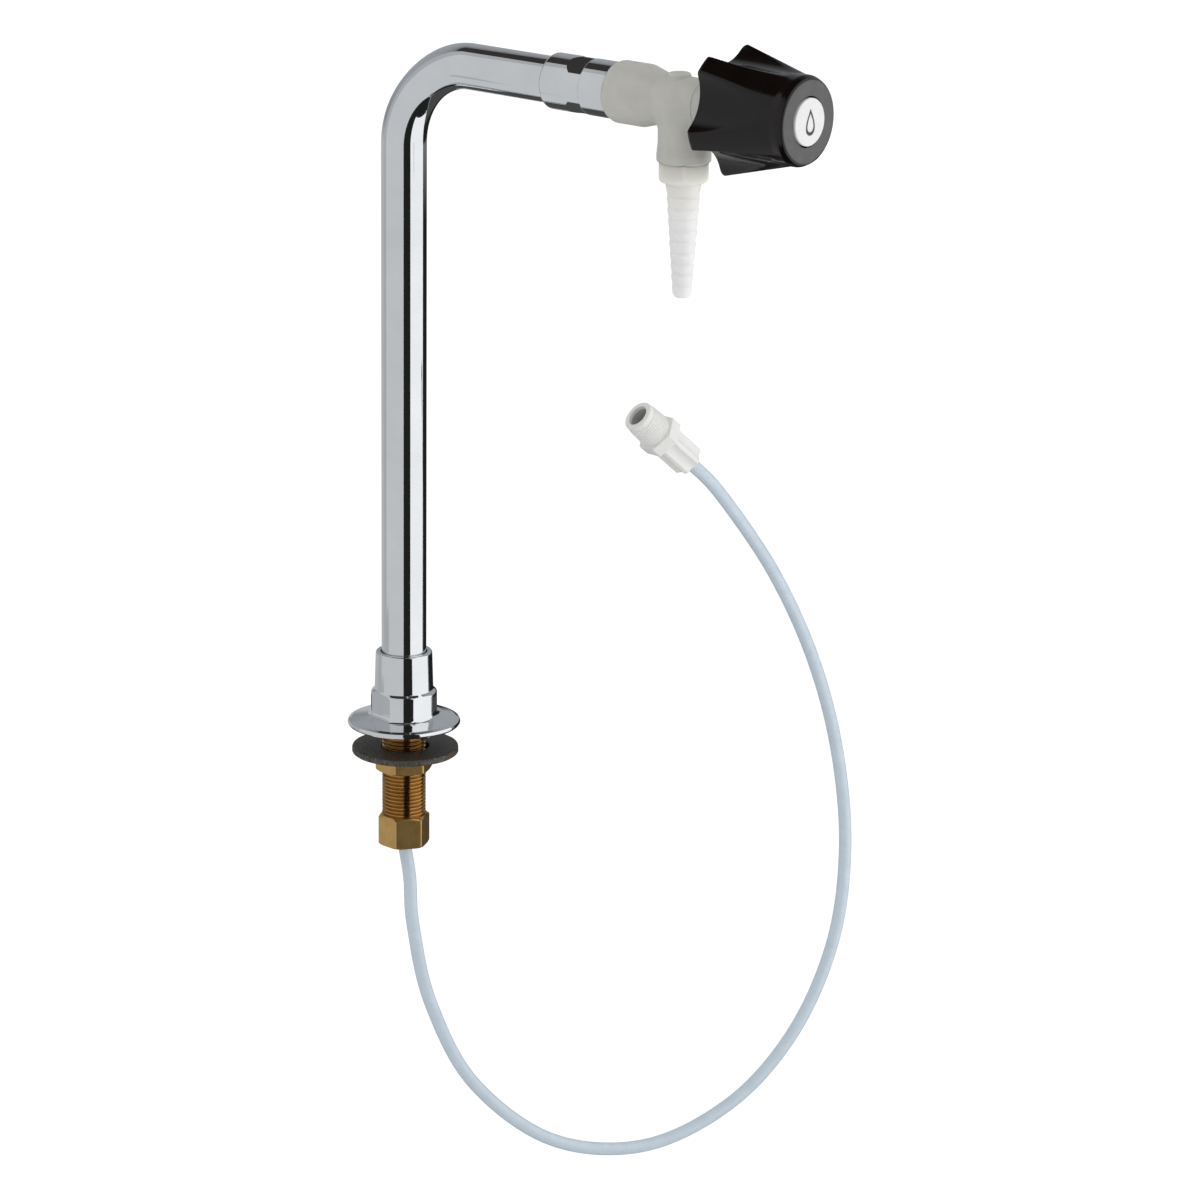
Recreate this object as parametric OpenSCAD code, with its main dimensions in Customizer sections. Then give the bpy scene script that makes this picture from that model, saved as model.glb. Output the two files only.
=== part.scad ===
// Laboratory gooseneck tap with a plastic valve, a hose nozzle and a loop of supply tube.
// Deck face at z = 0, riser up +Z, arm along +X. All sizes in millimetres.

/* [Pipe] */
// Outside diameter of the pipe
pipe_d = 21.3; // [18:0.1:27]
// Wall of the pipe
pipe_wall = 2.75; // [1.5:0.05:3.5]
// Height of the arm's axis above the deck
arm_z = 323; // [220:1:420]
// Centreline radius of the bend
bend_r = 41; // [32:1:60]

/* [Deck base] */
// Outside diameter of the flange
flange_d = 54; // [50:0.5:80]
// Height of the flange's rim
rim_h = 2.8; // [2.4:0.1:3.4]
// Height where the flange meets the hub
crown_h = 4.6; // [4.2:0.1:6]
// Step from the collar out to the hub
hub_step = 1.8; // [0.6:0.05:3]
// Height of the top of the hub
hub_h = 17.4; // [15:0.1:22]
// Radius of the fillet between the hub and the flange
hub_flare = 3.4; // [1:0.1:5]
// Turn of the hub's two wrench flats about the riser
hub_turn = 79; // [0:1:179]
// Wall of the collar at its foot
collar_wall = 3.3; // [2.2:0.1:5]
// Height of the collar's top
collar_h = 36.5; // [30:0.5:50]
// Depth that the shank goes up into the hub
shank_grip = 10; // [6:0.5:11]
// Thickness of the web between the shank and the pipe
web_t = 2.5; // [1.5:0.1:5]

/* [Deck clamp] */
// Crest diameter of the shank's thread
shank_d = 20.9; // [17:0.1:23]
// Pitch of the shank's thread
shank_pitch = 1.814; // [1.2:0.001:2.2]
// Depth of the shank's thread
shank_depth = 0.95; // [0.5:0.05:1.2]
// Wall of the shank
shank_wall = 2.95; // [2:0.05:4]
// Length of the shank below the deck face
shank_drop = 45; // [30:0.5:80]
// Deck thickness that the clamp is set for
deck_gap = 10.9; // [4:0.1:14]
// Outside diameter of the clamp washer
washer_d = 51; // [40:0.5:60]
// Room between the shank and the washer's hole
washer_room = 1.05; // [0.4:0.05:3]
// Thickness of the clamp washer
washer_t = 3; // [1.5:0.1:4]
// Wall of the lock nut at its flats
lock_nut_wall = 1.6; // [1.2:0.05:5]
// Height of the lock nut
lock_nut_h = 8.8; // [5:0.1:10]
// Gland fitting size across flats
gland_af = 21.8; // [20:0.1:28]
// Height of the gland fitting's hexagon
gland_h = 15; // [12:0.1:24]
// Length of the gland fitting's spigot in the shank
gland_spigot = 11; // [6:0.5:16]
// Wall of the sleeve in the gland fitting
sleeve_wall = 1.7; // [1:0.05:2.2]
// Turn of both hexagons about the shank
hex_turn = 53; // [0:1:59]

/* [Coupling] */
// Distance from the riser's axis to the coupling
arm_len = 90; // [70:0.5:180]
// Wall of the coupling over the pipe
coupling_wall = 2.2; // [1.6:0.05:4]
// Length of the coupling's collar
coupling_ring = 13; // [6:0.5:20]
// Length of the coupling's wrench flats
coupling_flats = 10; // [7:0.5:16]
// Depth of the wrench flats
flat_depth = 1.6; // [0.5:0.05:2]
// Length of the coupling's plain barrel
coupling_barrel = 13.5; // [6:0.5:25]
// Diameter of the spigot in the valve body
spigot_d = 19; // [16:0.1:20]
// Length of that spigot
spigot_len = 14; // [8:0.5:16]
// Thickness of the seal on the spigot
seal_t = 1.6; // [0.8:0.1:2.5]
// Turn of the coupling's flats about the arm
coupling_turn = 53; // [0:1:59]

/* [Valve] */
// Step from the coupling out to the body's boss
boss_step = 1.35; // [0.8:0.05:4]
// Length of the boss
boss_len = 17; // [15:0.5:32]
// Length of the taper from the boss to the chamber
taper_len = 9.5; // [6:0.5:16]
// Wall of the valve chamber
chamber_wall = 3.8; // [2.6:0.1:6]
// Length of the valve chamber
chamber_len = 23; // [20:0.5:32]
// Wall of the outlet boss
outlet_wall = 3.95; // [2.5:0.05:6]
// Drop from the arm's axis to the outlet boss's face
outlet_drop = 27; // [25:0.5:40]
// Bore of the outlet
outlet_bore = 8; // [4:0.1:9]
// Diameter of the round pad opposite the outlet
pad_d = 10.2; // [6:0.1:14]
// Height of that pad above the chamber
pad_h = 1.3; // [0.5:0.1:3]
// Distance from the outlet's axis back to the pad
pad_back = 3; // [0:0.5:6]
// Length of the bonnet outside the body
bonnet_len = 12.5; // [9:0.1:20]
// Length of the bonnet's neck round the stem
bonnet_neck = 5.5; // [3:0.1:10]
// Length of the bonnet's spigot in the chamber
bonnet_spigot = 6.4; // [4:0.1:7]
// Diameter of the stem
stem_d = 8; // [7.2:0.1:9]
// Bore of the valve seat
seat_bore = 4.8; // [3:0.1:6]

/* [Nozzle] */
// Diameter of the nozzle's spigot in the outlet
nozzle_spigot_d = 16; // [14:0.1:18]
// Depth of the outlet's socket
socket_depth = 11; // [7:0.1:12]
// Thickness of the seal on the nozzle's spigot
nozzle_seal_t = 1.5; // [0.8:0.1:2.5]
// Nozzle collar size across flats
nozzle_af = 21.7; // [19:0.1:26]
// Height of the nozzle's collar
nozzle_collar_h = 8.6; // [5:0.1:14]
// Turn of the collar's flats about the nozzle
nozzle_turn = 8.5; // [0:0.5:59]
// Number of barbs on the nozzle
barb_count = 9; // [4:1:14]
// Distance from barb to barb
barb_pitch = 5.08; // [3.5:0.01:7]
// Diameter over the first barb
barb_d = 14.8; // [13:0.1:16]
// Diameter over the last barb
tip_d = 9.2; // [7.6:0.1:12]
// Bore at the nozzle's tip
nozzle_bore = 4; // [2:0.1:5]

/* [Knob] */
// Diameter over the knob's lobes at the rear
knob_d = 60.6; // [54:0.2:80]
// Diameter of the knob's round front
knob_front_d = 40.8; // [38:0.2:48]
// Length of the knob
knob_len = 45.3; // [42:0.1:60]
// Length of the lobes
lobe_len = 36; // [24:0.5:38]
// Number of lobes
lobe_count = 5; // [3:1:7]
// Radius of the hollows between the lobes
hollow_r = 18; // [14:0.1:30]
// Turn of the lobes about the arm
lobe_turn = 147; // [0:1:359]
// Wall between the hollows and the knob's inside
knob_wall = 3.8; // [2.5:0.1:6]
// Diameter of the index button
button_d = 22.8; // [14:0.1:28]
// Thickness of the index button
button_t = 3.2; // [2:0.1:5]
// Diameter of the knob's screw
screw_d = 4; // [3:0.1:4.4]

/* [Supply tube] */
// Outside diameter of the supply tube
tube_d = 6.35; // [5:0.05:8]
// Wall of the tube
tube_wall = 1; // [0.6:0.05:1.6]
// Connector hexagon across flats
conn_af = 18.6; // [18.2:0.05:24]
// Length of the connector's hexagon
conn_hex = 5.8; // [5:0.1:14]
// Length of the connector's male thread
conn_thread = 14.6; // [10:0.1:24]
// Diameter over the male thread at the hexagon
conn_d = 17.1; // [15:0.1:18]
// Wall of the male thread round its bore
conn_wall = 4.15; // [2.4:0.05:5]
// Pitch of the male thread
conn_pitch = 1.411; // [1:0.001:2]
// Wall of the connector's nut at its ridges
conn_nut_wall = 2.1; // [2:0.05:4]
// Length of the connector's nut
conn_nut = 18.7; // [16:0.1:28]

/* [Fits] */
// Radial gap of a screwed or pushed joint that stays put
fit_gap = 0.05; // [0.02:0.01:0.1]
// Radial gap of a joint that turns or slides
run_gap = 0.05; // [0.02:0.01:0.1]

/* [Hidden] */
$fn = 96;
pipe_r = pipe_d / 2;
pipe_bore = pipe_d - 2 * pipe_wall;
flange_r = flange_d / 2;
collar_r = pipe_r + collar_wall;
collar_top_r = collar_r - 0.5;
hub_r = collar_r + hub_step;
hub_flat_r = collar_r + 0.1;
pipe_seat_z = shank_grip + web_t;
shank_r = shank_d / 2;
shank_root = shank_r - shank_depth;
shank_bore_r = shank_r - shank_wall;
washer_hole_r = shank_r + washer_room;
washer_shift = washer_room * 0.65;
washer_z = -deck_gap - washer_t;
lock_nut_af = shank_d + 2 * lock_nut_wall;
lock_nut_z = washer_z - lock_nut_h;
gland_z = -shank_drop - gland_h;
tube_r = tube_d / 2;
tube_bore_r = tube_r - tube_wall;
sleeve_r = tube_r + fit_gap + sleeve_wall;
sleeve_drop = 8;
coupling_r = pipe_r + coupling_wall;
coupling_af = 2 * (coupling_r - flat_depth);
body_x = arm_len + coupling_ring + coupling_flats + coupling_barrel;
pipe_end = arm_len + coupling_ring - 1;
spigot_r = spigot_d / 2;
boss_r = coupling_r + boss_step;
seat_x = boss_len + 7.5;
seat_lip_r = seat_bore / 2 + 1.2;
washer_r = seat_lip_r + 0.6;
plunger_r = washer_r + 1.2;
plunger_len = 7.5;
chamber_bore = plunger_r + 2.2;
chamber_r = chamber_bore + chamber_wall;
tube_stop = seat_x - 5.5;
body_len = boss_len + taper_len + chamber_len;
socket_r = nozzle_spigot_d / 2 + fit_gap;
outlet_r = socket_r + outlet_wall;
outlet_edge = 0.1;
outlet_x = body_len - outlet_r - outlet_edge;
stem_r = stem_d / 2;
nose_r = stem_r - 1.5;
ring_cs = 0.93;
bonnet_ring_x = 4.3;
knob_inset = 1.5;
knob_x = body_x + body_len + bonnet_len - knob_inset;
front_r = knob_front_d / 2;
knob_r = knob_d / 2;
lobe_end_r = front_r + 0.7;
hub_x = knob_inset + bonnet_neck + 4;
web_x = knob_len - 15.3;
knob_hub_r = stem_r + 3.5;
drive_r = stem_r - 0.6;
drive_flat = drive_r - 0.7;
screw_r = screw_d / 2;
screw_head_r = screw_r + 1.8;
screw_seat = 4;
button_r = button_d / 2;
button_proud = 0.6;
face_r = front_r - 1.6;
conn_pos = [83, 111.6, 121.4];
conn_lean = 48;
conn_turn = 251;
conn_dir = [sin(conn_lean) * cos(conn_turn), sin(conn_lean) * sin(conn_turn), cos(conn_lean)];
conn_stub_r = tube_r + 2.875;
conn_nut_r = conn_stub_r + fit_gap + conn_nut_wall;
conn_scoop = 1.5;
conn_hex_turn = 34.7;
conn_flute_turn = 10.4;
conn_insert = 14;
tube_start = gland_z;
route = [
    [0, 0, tube_start], [1.8, 2.1, -78], [2.2, 4.2, -103], [5, 14, -145], [15.5, 34.5, -190.5],
    [37, 69.5, -225.5], [63, 111, -234.5], [86.5, 150, -217.5], [102, 180, -185], [109, 202, -142],
    [109, 211, -95], [104, 209.5, -45], [98.5, 195.5, 5], [92.5, 169.5, 54.5], [89, 130, 102],
    conn_pos, conn_pos + conn_dir * conn_insert
];
tube_sides = 12;
tube_steps = 3;

// Places a piece whose own axis is z on the arm's axis, x along the arm.
module on_arm(x) {
    translate([x, 0, arm_z])
        rotate([0, 90, 0])
            children();
}

// Places a piece on the connector's axis, counted from the nut's rear face.
module on_connector() {
    translate(conn_pos)
        rotate([0, conn_lean, conn_turn])
            children();
}

module ring(ro, ri, z0, z1) {
    difference() {
        translate([0, 0, z0])
            cylinder(r = ro, h = z1 - z0);
        translate([0, 0, z0 - 1])
            cylinder(r = ri, h = z1 - z0 + 2);
    }
}

module hexagon(af, z0, z1) {
    translate([0, 0, z0])
        cylinder(r = af / 2 / cos(30), h = z1 - z0, $fn = 6);
}

// Round blank with both ends chamfered, for cutting the corners of a hexagon.
module nut_blank(r, c, z0, z1, low, high) {
    rotate_extrude()
        polygon([
            [0, z0], [r - c * low, z0], [r, z0 + c * 0.55 * low],
            [r, z1 - c * 0.55 * high], [r - c * high, z1], [0, z1]
        ]);
}

function quarter(cx, cy, r, a0, a1, n) = [
    for (i = [0:n]) [cx + r * cos(a0 + (a1 - a0) * i / n), cy + r * sin(a0 + (a1 - a0) * i / n)]
];

// Side of a ridged thread from z0 upwards, r0 at the foot and r1 at the top.
function ridges(z0, pitch, count, r0, r1, depth) = [
    for (i = [0:count - 1])
        for (k = [[0.08, 1], [0.42, 0], [0.66, 0], [1, 1]])
            [
                r0 + (r1 - r0) * (i + k[0]) / count - depth * k[1],
                z0 + pitch * (i + k[0])
            ]
];

// Half outline of the hub at a distance from its axis, with the fillet at its foot
function hub_side(reach) = concat(
    [[reach + hub_flare / 2, crown_h - 1]],
    quarter(reach + hub_flare, crown_h - 0.3 + hub_flare * sin(60), hub_flare, -120, -180, 5)
);

// Round hub with its top chamfered to the collar, and a wrench flat on two sides
module hub() {
    flat_side = concat(hub_side(hub_flat_r), [[hub_flat_r, hub_h + 3]]);
    intersection() {
        rotate_extrude()
            polygon(concat(
                [[0, crown_h - 1]],
                hub_side(hub_r),
                [[hub_r, hub_h - 2.2], [collar_r, hub_h + 1.2], [0, hub_h + 1.2]]
            ));
        rotate([90, 0, hub_turn])
            translate([0, 0, -flange_r])
                linear_extrude(2 * flange_r)
                    polygon(concat(
                        flat_side,
                        [for (i = [len(flat_side) - 1:-1:0]) [-flat_side[i][0], flat_side[i][1]]]
                    ));
    }
}

module deck_flange() {
    color("silver")
        difference() {
            union() {
                rotate_extrude()
                    polygon(concat(
                        [[0, 0], [flange_r - 1.2, 0]],
                        quarter(flange_r - 1.2, 1.2, 1.2, -90, 20, 5),
                        quarter(flange_r - 1.9, rim_h - 0.9, 0.9, 30, 80, 4),
                        [[hub_r + hub_flare, crown_h], [0, crown_h]]
                    ));
                hub();
                rotate_extrude()
                    polygon(concat(
                        [[0, hub_h - 2], [collar_r, hub_h - 2]],
                        quarter(collar_top_r - 0.7, collar_h - 0.7, 0.7, 0, 90, 4),
                        [[0, collar_h]]
                    ));
            }
            translate([0, 0, -1])
                cylinder(r = shank_r + fit_gap, h = shank_grip + 1);
            cylinder(r = shank_bore_r, h = collar_h);
            translate([0, 0, pipe_seat_z])
                cylinder(r = pipe_r + fit_gap, h = collar_h);
            translate([0, 0, collar_h - 3])
                cylinder(r = pipe_r + 1, h = 4);
        }
}

module shank() {
    count = floor((shank_drop - 1.5) / shank_pitch);
    low = -1 - count * shank_pitch;
    color("goldenrod")
        rotate_extrude()
            polygon(concat(
                [[shank_bore_r, -shank_drop], [shank_root, -shank_drop]],
                ridges(low, shank_pitch, count, shank_r, shank_r, shank_depth),
                [[shank_r, -0.6], [shank_r, shank_grip], [shank_bore_r, shank_grip]]
            ));
}

module deck_washer() {
    color("dimgray")
        translate([washer_shift * 0.78, washer_shift * 0.62, washer_z])
            rotate_extrude()
                polygon([
                    [washer_hole_r, 0], [washer_d / 2 - 0.5, 0], [washer_d / 2, 0.4],
                    [washer_d / 2, washer_t - 0.3], [washer_d / 2 - 0.3, washer_t],
                    [washer_hole_r, washer_t]
                ]);
}

module lock_nut() {
    color("goldenrod")
        difference() {
            intersection() {
                rotate([0, 0, hex_turn])
                    hexagon(lock_nut_af, lock_nut_z, washer_z);
                nut_blank(lock_nut_af / 2 / cos(30) + 0.05, 1.3, lock_nut_z, washer_z, 1, 1);
            }
            translate([0, 0, lock_nut_z - 1])
                cylinder(r = shank_r + run_gap, h = lock_nut_h + 2);
        }
}

module gland_fitting() {
    top = -shank_drop;
    color("goldenrod")
        difference() {
            union() {
                intersection() {
                    rotate([0, 0, hex_turn])
                        hexagon(gland_af, gland_z, top);
                    nut_blank(gland_af / 2 / cos(30) + 0.05, 1.6, gland_z, top, 0.5, 1);
                }
                translate([0, 0, top - 1])
                    cylinder(r = shank_bore_r - fit_gap, h = gland_spigot + 1);
            }
            translate([0, 0, gland_z - 1])
                cylinder(r = tube_r + fit_gap, h = gland_h + gland_spigot + 2);
            translate([0, 0, top - sleeve_drop])
                cylinder(r = sleeve_r + fit_gap, h = gland_spigot + sleeve_drop + 1);
        }
}

module gland_sleeve() {
    top = -shank_drop;
    color("ivory")
        ring(sleeve_r, tube_r + fit_gap, top - sleeve_drop, top + gland_spigot);
}

module pipe_solid(r, over) {
    translate([0, 0, pipe_seat_z - over])
        cylinder(r = r, h = arm_z - bend_r - pipe_seat_z + over);
    translate([bend_r, 0, arm_z - bend_r])
        rotate([90, 0, 180])
            rotate_extrude(angle = 90)
                translate([bend_r, 0])
                    circle(r = r);
    translate([bend_r, 0, arm_z])
        rotate([0, 90, 0])
            cylinder(r = r, h = pipe_end - bend_r + over);
}

module gooseneck_pipe() {
    color("silver")
        difference() {
            pipe_solid(pipe_r, 0);
            pipe_solid(pipe_bore / 2, 1);
        }
}

module tube_run(r, over) {
    translate([0, 0, tube_start - over])
        cylinder(r = r, h = arm_z - bend_r - tube_start + over, $fn = 48);
    translate([bend_r, 0, arm_z - bend_r])
        rotate([90, 0, 180])
            rotate_extrude(angle = 90)
                translate([bend_r, 0])
                    circle(r = r, $fn = 48);
    translate([bend_r, 0, arm_z])
        rotate([0, 90, 0])
            cylinder(r = r, h = body_x + tube_stop - bend_r + over, $fn = 48);
}

module riser_tube() {
    color("aliceblue")
        difference() {
            tube_run(tube_r, 0);
            tube_run(tube_bore_r, 1);
        }
}

module pipe_coupling() {
    flats_x = coupling_ring;
    barrel_x = coupling_ring + coupling_flats;
    color("silver")
        on_arm(arm_len)
            difference() {
                union() {
                    rotate_extrude()
                        polygon(concat(
                            [[0, 0]],
                            quarter(coupling_r - 1.4, 1.4, 1.4, -90, 0, 4),
                            [[coupling_r, flats_x], [0, flats_x]]
                        ));
                    intersection() {
                        translate([0, 0, flats_x - 2])
                            cylinder(r = coupling_r, h = coupling_flats + 4);
                        rotate([0, 0, coupling_turn])
                            hexagon(coupling_af, flats_x - 2, barrel_x + 2);
                    }
                    translate([0, 0, barrel_x])
                        cylinder(r = coupling_r, h = coupling_barrel);
                    translate([0, 0, barrel_x])
                        cylinder(r = spigot_r, h = coupling_barrel + spigot_len);
                }
                translate([0, 0, -1])
                    cylinder(r = pipe_r + fit_gap, h = pipe_end - arm_len + 1);
                cylinder(r = tube_r + 1.6, h = 100);
            }
}

module coupling_seal() {
    color("black")
        on_arm(body_x + spigot_len)
            ring(spigot_r - 0.1, tube_r + 0.4, 0, seal_t);
}

module valve_body() {
    rear_round = boss_step + 1.25;
    rear_turn = acos(1.25 / rear_round);
    rear_x = rear_round * sin(rear_turn);
    color("whitesmoke")
        difference() {
            union() {
                on_arm(body_x)
                    rotate_extrude()
                        polygon(concat(
                            [[0, 0]],
                            quarter(boss_r - rear_round, rear_x, rear_round, -rear_turn, 0, 6),
                            [
                                [boss_r, boss_len - 1], [boss_r - 0.2, boss_len],
                                [chamber_r, boss_len + taper_len], [chamber_r, body_len], [0, body_len]
                            ]
                        ));
                translate([body_x + outlet_x, 0, arm_z - outlet_drop])
                    cylinder(r = outlet_r, h = outlet_drop);
                translate([body_x + outlet_x - pad_back, 0, arm_z])
                    cylinder(r = pad_d / 2, h = chamber_r + pad_h);
            }
            on_arm(body_x) {
                translate([0, 0, -1])
                    cylinder(r = spigot_r + fit_gap, h = spigot_len + seal_t + 1);
                cylinder(r = tube_r + fit_gap, h = tube_stop);
                cylinder(r = seat_bore / 2, h = body_len);
                difference() {
                    translate([0, 0, seat_x - 2])
                        cylinder(r = chamber_bore, h = body_len);
                    translate([0, 0, seat_x - 3])
                        cylinder(r = seat_lip_r, h = 3);
                }
                translate([0, 0, body_len - 1.7])
                    cylinder(r = chamber_bore + 1.75, h = 3);
            }
            translate([body_x + outlet_x, 0, arm_z - outlet_drop - 1])
                cylinder(r = socket_r, h = socket_depth + 1);
            translate([body_x + outlet_x, 0, arm_z - outlet_drop])
                cylinder(r = outlet_bore / 2, h = outlet_drop);
        }
}

module bonnet() {
    color("whitesmoke")
        on_arm(body_x + body_len)
            difference() {
                union() {
                    translate([0, 0, -bonnet_spigot])
                        cylinder(r = chamber_bore - fit_gap, h = bonnet_spigot + 1);
                    rotate_extrude()
                        polygon([
                            [0, 0], [chamber_r - 0.3, 0], [chamber_r, 0.3],
                            [chamber_r, bonnet_len - 0.8], [chamber_r - 0.8, bonnet_len], [0, bonnet_len]
                        ]);
                    cylinder(r = stem_r + 2.8, h = bonnet_len + bonnet_neck);
                }
                translate([0, 0, -bonnet_spigot - 1])
                    cylinder(r = stem_r + run_gap, h = bonnet_len + bonnet_neck + bonnet_spigot + 2);
                translate([0, 0, bonnet_ring_x - ring_cs - 0.1])
                    cylinder(r = stem_r + run_gap + 2 * ring_cs + 0.05, h = 2 * ring_cs + 0.2);
            }
}

module bonnet_ring() {
    color("black")
        on_arm(body_x + body_len - 0.85)
            rotate_extrude()
                translate([chamber_bore + 0.88, 0])
                    circle(r = 0.82, $fn = 24);
}

module stem_ring() {
    color("black")
        on_arm(body_x + body_len + bonnet_ring_x)
            rotate_extrude()
                translate([stem_r + run_gap + ring_cs, 0])
                    circle(r = ring_cs, $fn = 24);
}

module plunger() {
    face = seat_x + 0.7;
    back = seat_x + plunger_len;
    color("whitesmoke")
        on_arm(body_x)
            difference() {
                rotate_extrude()
                    polygon([
                        [0, face], [plunger_r - 0.3, face], [plunger_r, face + 0.4],
                        [plunger_r, back - 0.4], [plunger_r - 0.4, back], [0, back]
                    ]);
                translate([0, 0, face - 1])
                    cylinder(r = washer_r + fit_gap, h = 2.4);
                translate([0, 0, seat_x + 3])
                    cylinder(r = nose_r + run_gap, h = plunger_len);
            }
}

module seat_washer() {
    color("black")
        on_arm(body_x + seat_x + run_gap)
            cylinder(r = washer_r, h = 2.05 - run_gap);
}

module stem() {
    low = seat_x + 3 + run_gap;
    shoulder = seat_x + plunger_len + run_gap;
    drive = knob_x - body_x + hub_x + 2;
    far = knob_x - body_x + web_x - 0.2;
    color("ivory")
        on_arm(body_x)
            difference() {
                union() {
                    translate([0, 0, low])
                        cylinder(r = nose_r, h = shoulder - low + 1);
                    translate([0, 0, shoulder])
                        cylinder(r = stem_r, h = drive - shoulder);
                    difference() {
                        translate([0, 0, drive - 1])
                            cylinder(r = drive_r, h = far - drive + 1);
                        translate([drive_flat, -10, drive])
                            cube([10, 20, far]);
                    }
                }
                translate([0, 0, far - 14])
                    cylinder(r = screw_r + fit_gap, h = 20);
            }
}

module nozzle() {
    low = outlet_drop + nozzle_collar_h;
    first = low + 8;
    last = first + barb_pitch * (barb_count - 1);
    step = (barb_d - tip_d) / 2 / (barb_count - 1);
    root = 0.6;
    corner = nozzle_af / 2 / cos(30) + 0.05;
    barbs = [
        for (i = [barb_count - 1:-1:0])
            for (k = [[barb_pitch * 0.86, root + step * 0.86], [0.5, 0.05], [-0.1, 0], [-0.5, root]])
                [barb_d / 2 - step * i - k[1], -(first + barb_pitch * i + k[0])]
    ];
    color("whitesmoke")
        translate([body_x + outlet_x, 0, arm_z])
            difference() {
                union() {
                    rotate_extrude()
                        polygon(concat(
                            [[0, -last - barb_pitch * 0.9], [tip_d / 2 - 0.9, -last - barb_pitch * 0.9]],
                            barbs,
                            [
                                [barb_d / 2 + 0.75, -low - 1.2], [nozzle_af / 2 - 2.4, -low],
                                [nozzle_af / 2 - 2.4, -outlet_drop - 1], [0, -outlet_drop - 1]
                            ]
                        ));
                    intersection() {
                        rotate([0, 0, nozzle_turn])
                            hexagon(nozzle_af, -low, -outlet_drop);
                        rotate_extrude()
                            polygon([
                                [0, -low], [nozzle_af / 2 - 1.6, -low], [corner, -low + 3.4],
                                [corner, -outlet_drop - 1.8], [nozzle_af / 2 - 0.4, -outlet_drop],
                                [0, -outlet_drop]
                            ]);
                    }
                    translate([0, 0, -outlet_drop - 1])
                        cylinder(r = nozzle_spigot_d / 2, h = socket_depth - nozzle_seal_t + 1);
                }
                translate([0, 0, -last - 20])
                    cylinder(r = nozzle_bore / 2, h = last + 20);
                translate([0, 0, -first - 6])
                    cylinder(
                        r1 = nozzle_bore / 2, r2 = outlet_bore / 2,
                        h = first + 6 - outlet_drop + socket_depth
                    );
            }
}

module nozzle_ring() {
    color("black")
        translate([body_x + outlet_x, 0, arm_z - outlet_drop + socket_depth - nozzle_seal_t])
            ring(socket_r - 0.1, outlet_bore / 2 + 1, 0, nozzle_seal_t);
}

module knob() {
    round_r = 3.4;
    color([0.08, 0.08, 0.08])
        on_arm(knob_x)
            rotate([0, 0, lobe_turn])
                difference() {
                    union() {
                        difference() {
                            rotate_extrude()
                                polygon([
                                    [0, 0], [knob_r - 0.8, 0], [knob_r, 0.8], [lobe_end_r, lobe_len - 0.6],
                                    [lobe_end_r - 0.6, lobe_len], [0, lobe_len]
                                ]);
                            for (i = [0:lobe_count - 1])
                                rotate([0, 0, (i + 0.5) * 360 / lobe_count])
                                    translate([front_r + hollow_r, 0, -1])
                                        cylinder(r = hollow_r, h = lobe_len + 2);
                        }
                        rotate_extrude()
                            polygon(concat(
                                [[0, 0], [front_r, 0]],
                                quarter(front_r - round_r, knob_len - round_r, round_r, 0, 58, 5),
                                [[face_r, knob_len], [0, knob_len]]
                            ));
                    }
                    difference() {
                        translate([0, 0, -1])
                            cylinder(r = front_r - knob_wall, h = web_x + 1);
                        translate([0, 0, hub_x])
                            cylinder(r = knob_hub_r, h = web_x);
                    }
                    rotate([0, 0, -lobe_turn])
                        difference() {
                            translate([0, 0, hub_x - 1])
                                cylinder(r = drive_r + fit_gap, h = web_x - hub_x + 1);
                            translate([drive_flat + fit_gap, -10, hub_x + 2])
                                cube([10, 20, web_x]);
                        }
                    translate([0, 0, hub_x - 1])
                        cylinder(r = stem_r + fit_gap, h = 3 + fit_gap);
                    cylinder(r = screw_r + 0.2, h = knob_len);
                    translate([0, 0, web_x + screw_seat])
                        cylinder(r = screw_head_r + 0.6, h = knob_len);
                    translate([0, 0, knob_len - button_t + button_proud])
                        cylinder(r = button_r + fit_gap, h = knob_len);
                }
}

module knob_screw() {
    color("lightgray")
        on_arm(knob_x + web_x + screw_seat)
            difference() {
                union() {
                    translate([0, 0, -15])
                        cylinder(r = screw_r, h = 15.5);
                    rotate_extrude()
                        polygon([
                            [0, 0], [screw_head_r, 0], [screw_head_r, 1.6],
                            [screw_head_r - 0.9, 2.6], [0, 2.6]
                        ]);
                }
                for (a = [0, 90])
                    rotate([0, 0, a])
                        translate([-2.2, -0.45, 1.2])
                            cube([4.4, 0.9, 3]);
            }
}

module index_button() {
    color("white")
        on_arm(knob_x + knob_len - button_t + button_proud)
            rotate_extrude()
                polygon(concat(
                    [[0, 0], [button_r, 0]],
                    quarter(button_r - 0.7, button_t - 0.7, 0.7, 0, 80, 4),
                    [[0, button_t]]
                ));
}

function mid(p, i) = p[max(0, min(len(p) - 1, i))];

// Point on the smooth line through the route, and its direction.
function spot(p, i, t) =
    let (a = mid(p, i - 1), b = mid(p, i), c = mid(p, i + 1), d = mid(p, i + 2))
    0.5 * (2 * b + (c - a) * t + (2 * a - 5 * b + 4 * c - d) * t * t
        + (3 * b - a - 3 * c + d) * t * t * t);
function way(p, i, t) =
    let (a = mid(p, i - 1), b = mid(p, i), c = mid(p, i + 1), d = mid(p, i + 2))
    (c - a) + 2 * (2 * a - 5 * b + 4 * c - d) * t + 3 * (3 * b - a - 3 * c + d) * t * t;

function unit(v) = v / norm(v);

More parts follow.
